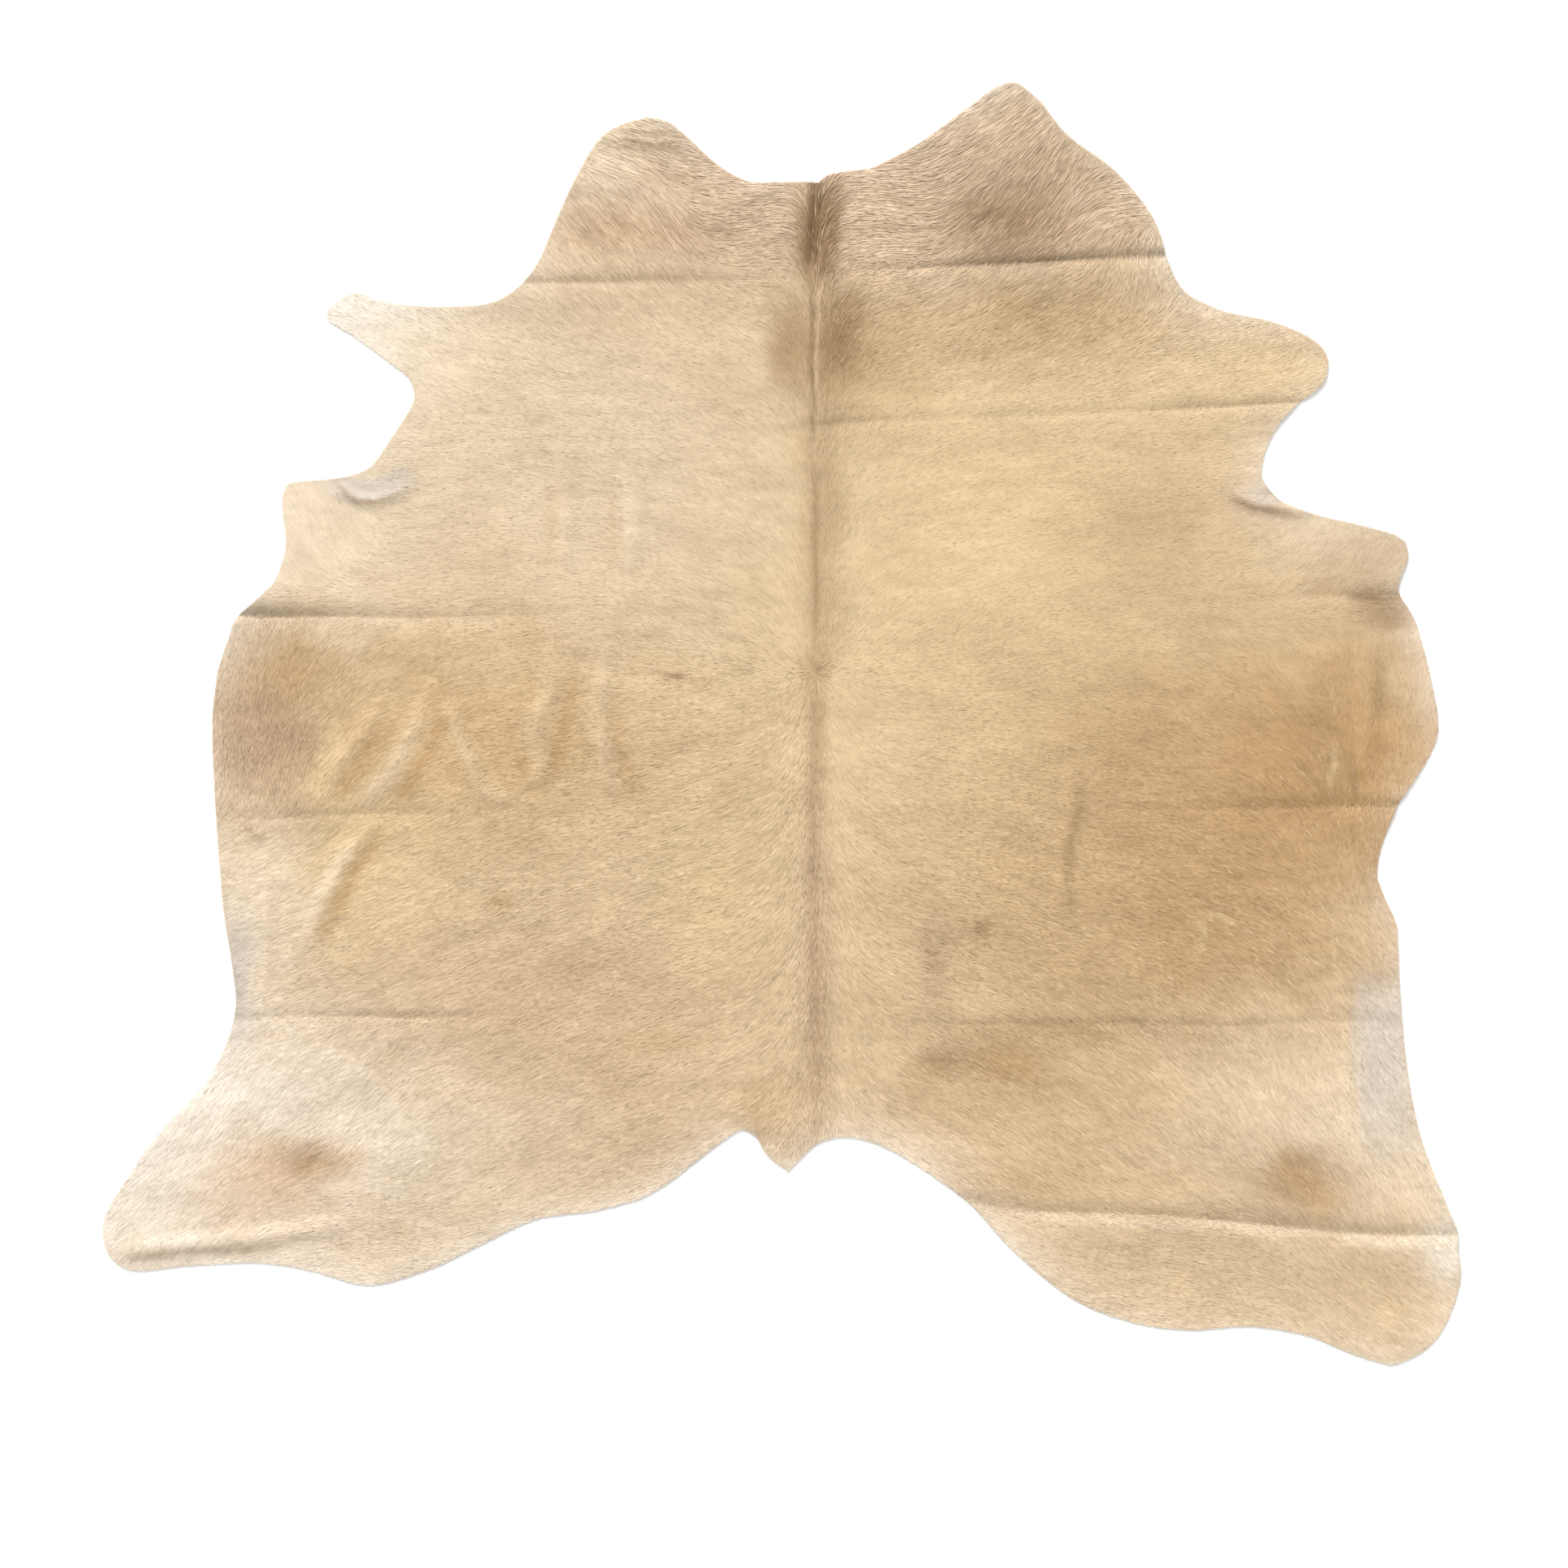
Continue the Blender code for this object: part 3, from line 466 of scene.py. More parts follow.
# A patch is its place in x and y, its half width and half length, its shade, and how strongly
# it covers what lies under it.
coatColours = {
    "base": "sandy",
    "rim": "milk", "rimReach": 0.035, "rimShare": 0.55,    # towards the cut edge
    "patchFade": 1.2,       # how suddenly a patch ends
    "pathFades": {"bands": 6, "lines": 2},      # the same for bands and lines
    "loose": 8,             # a patch's wandering for each metre of half width, up to all of it
    "pathLoose": 0.15,      # share of the wandering that bands and lines keep
    "shadeWarmth": (1, 1.04, 1.15),     # powers of the folds' shade in red, green and blue
    "patches": (
        # Back and right side
        (0.25, 0.28, 0.4, 0.4, "straw", 0.7),
        (0.58, 0.32, 0.16, 0.14, "fawn", 0.5),
        (0.64, 0.0, 0.34, 0.18, "fawn", 0.9),
        (0.8, -0.1, 0.22, 0.16, "tan", 0.8),
        (0.66, -0.28, 0.34, 0.26, "tan", 0.85),
        (0.38, -0.3, 0.2, 0.2, "fawn", 0.6),
        (0.42, -0.6, 0.24, 0.08, "fawn", 0.7),
        # Painted shade in a band along the rump fold's line
        (0.47, -0.485, 0.2, 0.024, "bark", 0.5),
        (0.46, -0.74, 0.24, 0.05, "fawn", 0.6),
        (0.82, 0.56, 0.17, 0.1, "straw", 0.6),
        (0.91, 0.29, 0.15, 0.06, "linen", 0.7),
        (0.94, 0.27, 0.1, 0.05, "taupe", 0.35),
        (0.92, -0.02, 0.15, 0.18, "gold", 0.7),
        (0.87, -0.02, 0.05, 0.1, "bark", 0.5),
        # Painted shade in a wedge under the shoulder fold's right end
        (0.97, 0.19, 0.05, 0.03, "bark", 0.7),
        # Right hind leg
        (0.74, -0.9, 0.36, 0.14, "sandy", 0.8),
        (1.065, -0.85, 0.04, 0.05, "milk", 0.7),
        (0.86, -0.62, 0.26, 0.17, "linen", 0.7),
        (0.95, -0.67, 0.1, 0.12, "cream", 0.5),
        (0.84, -0.74, 0.13, 0.07, "taupe", 0.6),
        (0.82, -0.73, 0.06, 0.04, "bark", 0.3),
        # Left side
        (-0.6, 0.56, 0.26, 0.16, "cream", 0.8),
        (-0.7, 0.67, 0.14, 0.08, "milk", 0.9),
        (-0.72, 0.3, 0.18, 0.14, "cream", 0.7),
        (-0.28, 0.42, 0.32, 0.3, "linen", 0.85),
        (-0.5, -0.02, 0.32, 0.16, "honey", 0.9),
        (-0.7, -0.22, 0.14, 0.14, "straw", 0.8),
        (-0.84, 0.0, 0.11, 0.15, "taupe", 0.9),
        (-0.78, 0.1, 0.07, 0.06, "tan", 0.6),
        (-0.83, -0.29, 0.08, 0.14, "cream", 0.8),
        (-0.38, -0.42, 0.28, 0.1, "rose", 0.8),
        (-0.34, -0.61, 0.28, 0.11, "rose", 0.6),
        (-0.1, -0.26, 0.08, 0.14, "straw", 0.7),
        # Left hind leg
        (-0.56, -0.68, 0.28, 0.12, "linen", 0.8),
        (-0.92, -0.68, 0.32, 0.22, "milk", 0.8),
        (-0.82, -0.74, 0.14, 0.1, "blush", 0.8),
        (-0.8, -0.71, 0.1, 0.06, "rose", 0.7),
        (-0.76, -0.69, 0.05, 0.03, "taupe", 0.6),
        # Neck
        (-0.15, 0.83, 0.22, 0.12, "blush", 0.9),
        (-0.28, 0.9, 0.09, 0.07, "cream", 0.7),
        (-0.22, 0.785, 0.15, 0.03, "rose", 0.8),
        (0.26, 0.84, 0.3, 0.16, "blush", 0.9),
        # Brown hair above the right part of the neck fold, deepened with painted shade where its slope
        # faces away from the light
        (0.37, 0.82, 0.13, 0.08, "taupe", 0.7),
        (0.34, 0.8, 0.08, 0.04, "bark", 0.6),
        (0.42, 0.64, 0.16, 0.06, "fawn", 0.9),
        # Spine
        (0.15, 0.58, 0.09, 0.1, "fawn", 0.8),
        (0.088, 0.62, 0.04, 0.1, "bark", 0.9),
        (0.02, 0.6, 0.035, 0.09, "bark", 0.7),
        (0.062, 0.36, 0.034, 0.24, "bark", 0.5),
        (0.056, -0.02, 0.016, 0.18, "bark", 0.5),
        (0.056, -0.4, 0.024, 0.28, "taupe", 0.6),
        (-0.02, -0.61, 0.07, 0.05, "fawn", 0.7),
        # Grey-white edge of the left belly, and the right armpit
        (-0.875, -0.4, 0.035, 0.1, "chalk", 0.9),
        (0.775, 0.365, 0.045, 0.024, "chalk", 0.8),
        (0.78, 0.358, 0.055, 0.03, "taupe", 0.3),
        # Small marks
        (-0.161, 0.078, 0.02, 0.006, "bark", 0.8),
        (0.307, -0.326, 0.014, 0.014, "bark", 0.7),
        (0.245, -0.541, 0.045, 0.028, "bark", 0.65),
        (0.322, -0.515, 0.05, 0.026, "bark", 0.4),
        (0.36, -0.545, 0.06, 0.03, "tan", 0.7),
        (-0.19, -0.508, 0.06, 0.016, "fawn", 0.6),
        (-0.446, -0.285, 0.02, 0.014, "tan", 0.7),
        (0.24, -0.38, 0.03, 0.085, "taupe", 0.5),
    ),
    # Bands with crisp borders: points, half width, shade and strength
    "bands": (
        # Right belly, left armpit, and the spine at the neck
        (((0.978, -0.4), (0.968, -0.52), (0.99, -0.72)), 0.046, "chalk", 0.7),
        (((-0.745, 0.396), (-0.695, 0.376), (-0.645, 0.378), (-0.592, 0.408)), 0.022, "chalk", 0.85),
        (((0.07, 0.9), (0.067, 0.82), (0.062, 0.765), (0.056, 0.7)), 0.03, "bark", 0.9),
        (((0.052, 0.9), (0.049, 0.82), (0.046, 0.74)), 0.012, "umber", 0.6),
    ),
    # Lines with soft borders, the same way
    "lines": (
        # Neck
        (((0.468, 0.892), (0.48, 0.851), (0.5, 0.818), (0.533, 0.796), (0.575, 0.788)),
         0.006, "cream", 0.4),
        # Painted shade in the creases under the small flaps at the left neck tip
        (((-0.278, 0.95), (-0.211, 0.94), (-0.146, 0.94)), 0.0025, "bark", 0.5),
        (((-0.254, 0.956), (-0.148, 0.944)), 0.002, "bark", 0.3),
        # Spine, its groove and light wisps
        (((0.032, 0.88), (0.03, 0.8), (0.034, 0.73)), 0.014, "bark", 0.6),
        (((0.05, 0.88), (0.047, 0.8), (0.046, 0.735)), 0.006, "soot", 0.6),
        (((0.049, 0.74), (0.05, 0.6), (0.05, 0.44)), 0.0045, "umber", 0.6),
        (((0.052, 0.44), (0.054, 0.12)), 0.006, "bark", 0.6),
        (((0.053, 0.06), (0.05, -0.3), (0.056, -0.64)), 0.007, "taupe", 0.6),
        (((0.061, 0.72), (0.058, 0.6), (0.059, 0.48)), 0.0025, "sandy", 0.55),
        (((0.046, 0.56), (0.048, 0.5)), 0.0025, "sandy", 0.5),
        (((0.058, 0.092), (0.06, 0.086)), 0.006, "umber", 0.7),
        # Painted highlights along the crests of the left flank's wrinkles, and painted shade in its
        # golden troughs
        (((-0.37, 0.15), *wrinkles["left ribs"][0][1:-1], (-0.402, -0.1)), 0.018, "linen", 0.3),
        (((-0.283, 0.15), *wrinkles["left back"][0][1:-1], (-0.274, -0.12)), 0.018, "linen", 0.3),
        (((-0.53, 0.045), *wrinkles["left flank"][0][1:]), 0.014, "linen", 0.35),
        (wrinkles["left folds"][0][1:], 0.016, "linen", 0.6),
        (((-0.716, 0.0), (-0.73, -0.05), (-0.76, -0.11)), 0.016, "straw", 0.6),
        (((-0.69, -0.19), (-0.742, -0.265), (-0.79, -0.33)), 0.014, "cream", 0.5),
        (((-0.336, 0.106), (-0.346, 0.017), (-0.366, -0.052), (-0.378, -0.09)), 0.012, "gold", 0.55),
        (((-0.264, 0.03), (-0.254, -0.072), (-0.232, -0.124)), 0.014, "gold", 0.4),
        (((-0.429, -0.048), (-0.42, -0.066), (-0.412, -0.088)), 0.01, "gold", 0.6),
        (((-0.544, 0.017), (-0.563, -0.028), (-0.601, -0.09), (-0.626, -0.13)), 0.012, "gold", 0.6),
        (((-0.62, 0.01), (-0.659, -0.034), (-0.697, -0.09), (-0.715, -0.13)), 0.013, "gold", 0.55),
        (((-0.638, -0.167), (-0.684, -0.231), (-0.728, -0.307), (-0.748, -0.358)), 0.014, "gold", 0.65),
        (wrinkles["flank swirl"][0], 0.005, "taupe", 0.6),
        # Left shoulder; the cream line is a painted highlight along the shoulder blade's crest
        (((-0.367, 0.408), (-0.37, 0.31), (-0.378, 0.24)), 0.012, "fawn", 0.3),
        (((-0.275, 0.38), (-0.272, 0.3), (-0.276, 0.25)), 0.012, "fawn", 0.25),
        (((-0.248, 0.42), (-0.243, 0.35), (-0.25, 0.25)), 0.014, "cream", 0.3),
        # Right ribs and flank edge: painted shade on the right sides of the ridges, in the troughs
        # beside them and at the shoulder fold's end, and a painted highlight on the right flank's crest
        (((0.48, -0.078), (0.48, -0.14), (0.464, -0.19), (0.462, -0.24), (0.47, -0.325)),
         0.01, "bark", 0.5),
        (((0.915, 0.206), (0.96, 0.205), (1.01, 0.21)), 0.005, "umber", 0.6),
        (((0.972, 0.104), (0.968, -0.002)), 0.01, "bark", 0.5),
        (((0.915, -0.037), (0.925, -0.114)), 0.008, "bark", 0.5),
        (((0.924, -0.088), (0.929, -0.14)), 0.006, "umber", 0.4),
        (((0.896, -0.028), (0.881, -0.112)), 0.006, "straw", 0.6),
        (((0.23, -0.311), (0.25, -0.443)), 0.012, "taupe", 0.5),
        (((0.67, -0.305), (0.705, -0.312), (0.742, -0.331)), 0.005, "straw", 0.6),
        (((0.674, -0.311), (0.68, -0.34), (0.674, -0.364)), 0.005, "straw", 0.6),
        # Pale lip under the thigh fold: painted light on the slope below the line that faces the light
        (((0.33, -0.786), (0.5, -0.802), (0.7, -0.812), (0.94, -0.833)), 0.008, "cream", 0.4),
        (((0.9, -0.832), (1.0, -0.838), (1.1, -0.84)), 0.01, "cream", 0.7),
        # Knees, painted shade under the lips of the armpits, and painted shade in the dip below the
        # ridge along the left hind leg
        (((-1.075, -0.862), (-0.99, -0.857), (-0.9, -0.851), (-0.8, -0.846)), 0.009, "taupe", 0.5),
        (((-0.672, -0.7), (-0.74, -0.712), (-0.8, -0.72)), 0.02, "fawn", 0.5),
        (((0.795, -0.7), (0.84, -0.74), (0.9, -0.8)), 0.03, "tan", 0.6),
        (((-0.735, 0.394), (-0.698, 0.362), (-0.654, 0.356), (-0.592, 0.39)), 0.005, "bark", 0.6),
        (((0.727, 0.372), (0.756, 0.352), (0.835, 0.336)), 0.006, "bark", 0.6),
    ),
    "crossWave": 1.3,       # how much faster borders wander in y than in x
    # The sine waves by which they wander: length, turn in degrees, height
    "wander": ((0.23, 20, 0.01), (0.17, 100, 0.01), (0.11, 55, 0.007), (0.083, 150, 0.006),
               (0.047, 80, 0.004), (0.036, 10, 0.003), (0.021, 120, 0.002)),
}


# A shade as linear red, green and blue
def linear(shade):
    return ((np.array(shades[shade]) / 255 + 0.055) / 1.055) ** 2.4


# A tint with a shade laid over it, by a share from 0 to 1 at each place
def laidOver(tint, shade, share):
    share = share[:, None]
    return tint * (1 - share) + linear(shade) * share


# Shifts places a little, so that the borders of patches are uneven
def wandered(x, y):
    shiftX, shiftY = np.zeros_like(x), np.zeros_like(y)
    for length, turn, height in coatColours["wander"]:
        wave = (x * cos(radians(turn)) + y * sin(radians(turn))) * 2 * pi / length
        shiftX += height * np.sin(wave + turn)
        shiftY += height * np.cos(coatColours["crossWave"] * wave + 2 * turn)
    return x + shiftX, y + shiftY


# The coat's colour at each place, as linear red, green and blue
def coatTint(x, y, inside):
    tint = np.empty((len(x), 3))
    tint[:] = linear(coatColours["base"])
    share = coatColours["rimShare"] * np.exp(-inside / coatColours["rimReach"])
    tint = laidOver(tint, coatColours["rim"], share)
    offX, offY = wandered(x, y)
    for placeX, placeY, halfX, halfY, shade, strength in coatColours["patches"]:
        loose = min(1, coatColours["loose"] * min(halfX, halfY))
        spotX, spotY = x + loose * (offX - x) - placeX, y + loose * (offY - y) - placeY
        off = (spotX / halfX) ** 2 + (spotY / halfY) ** 2
        tint = laidOver(tint, shade, strength * np.exp(-off ** coatColours["patchFade"]))
    return tint


# Painted shade along the folds, where the slope above each line faces away from the light, as a share
# of the light
def paintedFoldShade(x, y):
    light = np.ones_like(x)
    for name, fold in folds.items():
        line, _, shade = foldAt(name, x)
        deepest, *fades = fold["shade"]
        off = y - line - deepest
        reach = np.where(off > 0, *fades)
        light *= 1 - shade * np.exp(-(off / reach) ** 2)
    return light


# The same tints with the narrow lines, the crisp bands and the folds' painted shade laid over them
def marksAndPaintedShade(tint, x, y):
    offX, offY = wandered(x, y)
    loose = coatColours["pathLoose"]
    offX, offY = x + loose * (offX - x), y + loose * (offY - y)
    for kind, fade in coatColours["pathFades"].items():
        for points, reach, shade, strength in coatColours[kind]:
            near, middle, off = besidePath(offX, offY, points, reach)
            share = strength * middle * np.exp(-(off / reach) ** fade)
            tint[near] = laidOver(tint[near], shade, share)
    return tint * paintedFoldShade(x, y)[:, None] ** coatColours["shadeWarmth"]


def storeOn(mesh, name, kind, values):
    attribute = mesh.attributes.new(name, kind, "POINT")
    field = {"FLOAT": "value", "FLOAT_VECTOR": "vector", "FLOAT_COLOR": "color"}[kind]
    attribute.data.foreach_set(field, np.ascontiguousarray(values, np.float32).ravel())


def storeTint(mesh, tint):
    storeOn(mesh, "tint", "FLOAT_COLOR", np.column_stack((tint, np.ones(len(tint)))))


def readFrom(mesh, name):
    values = np.empty(len(mesh.vertices), np.float32)
    mesh.attributes[name].data.foreach_get("value", values)
    return values


def vertPlaces(mesh):
    places = np.empty(len(mesh.vertices) * 3, np.float32)
    mesh.vertices.foreach_get("co", places)
    return places.reshape(-1, 3).astype(float)


def setPlaces(mesh, places):
    mesh.vertices.foreach_set("co", np.ascontiguousarray(places, np.float32).ravel())
    mesh.update()


def meshOf(shape, name):
    mesh = bpy.data.meshes.new(name)
    shape.to_mesh(mesh)
    shape.free()
    return mesh


def newPiece(name, data):
    piece = bpy.data.objects.new(name, data)
    bpy.context.scene.collection.objects.link(piece)
    return piece


# Nodes for materials and for the coat's layout

class Socket:
    def __init__(self, nodes, output):
        self.nodes, self.output = nodes, output

    def __add__(self, other):
        return self.nodes.maths("ADD", self, other)

    def __radd__(self, other):
        return self.nodes.maths("ADD", other, self)

    def __sub__(self, other):
        return self.nodes.maths("SUBTRACT", self, other)

    def __rsub__(self, other):
        return self.nodes.maths("SUBTRACT", other, self)

    def __mul__(self, other):
        return self.nodes.maths("MULTIPLY", self, other)

    def __rmul__(self, other):
        return self.nodes.maths("MULTIPLY", other, self)


class Nodes:
    def __init__(self, tree):
        self.tree = tree

    # Adds a node with its settings, then the values or links of its sockets
    def add(self, kind, settings=(), sockets=()):
        node = self.tree.nodes.new(kind)
        for name, setting in dict(settings).items():
            setattr(node, name, setting)
        for name, value in dict(sockets).items():
            if isinstance(value, Socket):
                self.tree.links.new(value.output, node.inputs[name])
            else:
                node.inputs[name].default_value = value
        return node

    def out(self, kind, settings=(), sockets=(), output=0):
        return Socket(self, self.add(kind, settings, sockets).outputs[output])

    def maths(self, operation, first, second):
        return self.out("ShaderNodeMath", {"operation": operation}, {0: first, 1: second})

    def clamped(self, value):
        return self.out("ShaderNodeClamp", {}, {"Value": value})

    def mixed(self, share, first, second, how="MIX"):
        return self.out("ShaderNodeMix", {"data_type": "RGBA", "blend_type": how},
                        {0: share, 6: first, 7: second}, output=2)

    def noise(self, place, scale, detail, roughness=0.6):
        return self.out("ShaderNodeTexNoise", {},
                        {"Vector": place, "Scale": scale, "Detail": detail, "Roughness": roughness})

    def attribute(self, name, output="Fac"):
        return self.out("ShaderNodeAttribute", {"attribute_name": name}, output=output)


# The hair's light differs by lock, strand, tuft, clump and drift
hairLook = {
    "roughness": 0.55, "gloss": 0.3,
    # The extra light where the coat is rough is painted light that offsets the shadows between rough
    # locks
    "light": 0.92, "paintedRoughLight": 0.05,      # of the tint, and more where the coat is rough
    "tipLight": 0.10,                       # more towards a lock's tip
    "locks": 0.24,                          # contrast between locks where the coat is rough
    "strands": (0.04, 0.28), "tufts": (0.04, 0.10),     # contrast, and more where it is rough
    "clumps": 0.30, "clumpScale": 42.0, "drift": 0.46, "driftScale": 9.0,
    "stretch": (0.45, 1.2, 1),              # of clumps and drift, across and along the body
    "warmth": (1.1, 1.25),                  # powers of the light in green and blue
    "cream": (0.86, 0.75, 0.58, 1), "creamShare": 0.5, "creamAbove": 0.90, "creamRise": 8.0,
}
undercoatLook = {"roughness": 0.75, "gloss": 0.2, "scale": 420.0, "light": 0.86, "fine": 0.14}
fleshLook = {
    "roughness": 0.9, "gloss": 0.15, "dark": (0.42, 0.33, 0.22, 1), "pale": (0.60, 0.50, 0.37, 1),
    "drift": 1.4, "driftScale": 7.0, "nap": 0.5, "napScale": 300.0, "bump": 0.4, "bumpHeight": 0.0006,
}
cutEdgeLook = {
    "roughness": 0.8, "gloss": 0.2, "dark": (0.50, 0.40, 0.27, 1), "pale": (0.68, 0.58, 0.43, 1),
    "scale": 240.0,
}


# A material whose shader's sockets are fed by what a function gives for its nodes and look
def newMaterial(name, look, feeds):
    material = bpy.data.materials.new(name)
    material.use_nodes = True
    nodes = Nodes(material.node_tree)
    shader = material.node_tree.nodes["Principled BSDF"]
    shader.inputs["Roughness"].default_value = look["roughness"]
    shader.inputs["Specular IOR Level"].default_value = look["gloss"]
    place = nodes.out("ShaderNodeTexCoord", output="Object")
    for socket, value in feeds(nodes, place, look).items():
        nodes.tree.links.new(value.output, shader.inputs[socket])
    return material


def hairFeeds(nodes, place, look):
    shade, along, rough = [nodes.attribute(name) for name in ("shade", "along", "rough")]
    stretched = nodes.out("ShaderNodeVectorMath", {"operation": "MULTIPLY"},
                          {0: place, 1: look["stretch"]})
    clumps = nodes.noise(stretched, look["clumpScale"], 3.0)
    drift = nodes.noise(stretched, look["driftScale"], 4.0)
    light = look["light"] + look["paintedRoughLight"] * rough + look["tipLight"] * along
    light = light + look["locks"] * rough * (shade - 0.5)
    for name in ("strands", "tufts"):
        even, more = look[name]
        light = light + (even + more * rough) * (nodes.attribute(name) - 0.5)
    light = light + look["clumps"] * (clumps - 0.5) + look["drift"] * (drift - 0.5)
    green, blue = [nodes.maths("POWER", light, power) for power in look["warmth"]]
    cast = nodes.out("ShaderNodeCombineXYZ", {}, {0: light, 1: green, 2: blue})
    colour = nodes.mixed(1.0, nodes.attribute("tint", "Color"), cast, "MULTIPLY")
    cream = nodes.clamped((shade - look["creamAbove"]) * look["creamRise"])
    return {"Base Color": nodes.mixed(look["creamShare"] * rough * cream, colour, look["cream"])}


def undercoatFeeds(nodes, place, look):
    light = look["light"] + look["fine"] * nodes.noise(place, look["scale"], 3.0)
    grey = nodes.out("ShaderNodeCombineXYZ", {}, {0: light, 1: light, 2: light})
    return {"Base Color": nodes.mixed(1.0, nodes.attribute("tint", "Color"), grey, "MULTIPLY")}


def fleshFeeds(nodes, place, look):
    drift = nodes.noise(place, look["driftScale"], 4.0)
    nap = nodes.noise(place, look["napScale"], 4.0, 0.7)
    share = nodes.clamped(0.5 + look["drift"] * (drift - 0.5) + look["nap"] * (nap - 0.5))
    bump = nodes.out("ShaderNodeBump", {},
                     {"Strength": look["bump"], "Distance": look["bumpHeight"], "Height": nap})
    return {"Base Color": nodes.mixed(share, look["dark"], look["pale"]), "Normal": bump}


def cutEdgeFeeds(nodes, place, look):
    grain = nodes.noise(place, look["scale"], 4.0)
    return {"Base Color": nodes.mixed(grain, look["dark"], look["pale"])}


# Raises the flat sheet onto its folds and gives it the skin's thickness
def buildSkin(sheet, rim):
    hide = sheet.copy()
    upper = bmesh.ops.extrude_face_region(hide, geom=hide.faces[:])["geom"]
    top = {item for item in upper if isinstance(item, bmesh.types.BMVert)}
    topFaces = {item for item in upper if isinstance(item, bmesh.types.BMFace)}
    places = np.array([vert.co for vert in hide.verts])
    lift = skinLift(places[:, 0], places[:, 1])
    for vert, height in zip(hide.verts, lift):
        vert.co.z = height + (skin["thickness"] if vert in top else 0)
    hairSide, fleshSide, cutEdge = range(3)
    for face in hide.faces:
        upright = face not in topFaces and any(vert in top for vert in face.verts)
        flat = hairSide if face in topFaces else fleshSide
        face.material_index = cutEdge if upright else flat
        face.smooth = not upright
    bmesh.ops.recalc_face_normals(hide, faces=hide.faces[:])
    mesh = meshOf(hide, "skin")
    x, y, _ = vertPlaces(mesh).T
    storeTint(mesh, marksAndPaintedShade(coatTint(x, y, edgeDistance(x, y, rim)), x, y))
    mesh.materials.append(newMaterial("undercoat", undercoatLook, undercoatFeeds))
    mesh.materials.append(newMaterial("suede flesh side", fleshLook, fleshFeeds))
    mesh.materials.append(newMaterial("cut skin edge", cutEdgeLook, cutEdgeFeeds))
    return newPiece("skin", mesh)


hideSkin = buildSkin(sheet, rim)
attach(hideSkin, "root")
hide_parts("hide")
print("skin raised")


# The coat

coat = {
    "bands": ("nape", "neck", "withers", "shoulders", "chest",
              "back", "loin", "rump", "thighs", "hocks"),
    "spacing": 0.00215,     # least distance between roots
    "most": 900000,         # roots tried to a square metre
    "length": (0.016, 0.025),
    "width": (0.0014, 0.0026),
    "rise": (0.0018, 0.003),
    "widest": (0.45, 0.72),         # where a lock is widest, as shares of its length and rise
    "bends": (-0.5, 0.0, 0.5),      # how far its tip may lie to a side, in widths
    # How rough and lively the coat is, from the tail to the neck, on both sides
    "roughLeft": ((-1.0, 0.42), (-0.3, 0.48), (0.0, 0.42), (0.25, 0.24), (0.6, 0.28), (0.72, 0.5),
                  (0.8, 0.9)),
    "roughRight": ((-1.0, 0.42), (-0.3, 0.5), (0.0, 0.28), (0.25, 0.16), (0.52, 0.24), (0.7, 0.6),
                   (0.8, 1.0)),
    "neckLength": 0.45,     # how much longer the neck's hair is
    "neckFrom": 0.6, "neckOver": 0.5,       # roughness where it starts, and over which it grows
    "widthShare": ((0.2, 1.3), (0.5, 1.15), (1.0, 0.8)),    # wider locks where the coat is smooth
    "lean": (14, 3, 8),     # how far a lock rolls, pitches and turns from its neighbours
    "overhang": 0.0003,     # hair past the cut edge
    "shortest": 0.10,       # share of its length that a lock keeps at the edge
    "creaseTrim": 0.55,     # how much shorter the hair is on a fold's line
    "creaseReach": 0.015, "creaseRise": 0.004,      # beside the line, and the rise for the full trim
    "lookBehind": 0.002,    # from a root against the flow, to tell how squarely the edge lies ahead
    "leastOutward": 0.05,
    "edgeRise": 0.4,        # share of its rise that the shortest hair keeps
    "smoothRise": 0.12,     # the same for the smoothest hair
    "mostRough": 1.2,
    "pastEnds": 0.01,       # the first and last band reach this far past the hide
    "streaks": (("strands", 0.0015, 0.010), ("tufts", 0.0085, 0.040)),     # name, width, half length
    "seed": 7,
}


# One lock: a narrow kite that rises from its root, widest before the middle
def lockShape(bend):
    lock = bmesh.new()
    bmesh.ops.create_grid(lock, x_segments=1, y_segments=1, size=0.5)
    order = sorted(lock.verts, key=lambda vert: vert.co.x + vert.co.y)
    along, height = coat["widest"]
    for vert in order[1:3]:
        vert.co = (along, 0.5 if vert.co.y > 0 else -0.5, height)
    order[0].co, order[3].co = (0, 0, 0), (1, bend, 1)
    bmesh.ops.connect_verts(lock, verts=order[1:3])
    faceUp(lock)
    mesh = meshOf(lock, "lock")
    storeOn(mesh, "along", "FLOAT", vertPlaces(mesh)[:, 0])
    margin = 0.1    # round the lock in its cell of the bake layout
    span = 1 - 2 * margin
    layout = mesh.uv_layers.new(name="OFBake")
    for loop in mesh.loops:
        x, y = mesh.vertices[loop.vertex_index].co.xy
        layout.uv[loop.index].vector = (margin + span * x, 0.5 + (span * y if 0 < x < 1 else 0))
    return mesh


def lockCollection():
    group = bpy.data.collections.new("locks")
    bpy.context.scene.collection.children.link(group)
    for bend in coat["bends"]:
        group.objects.link(bpy.data.objects.new("lock", lockShape(bend)))
    return group


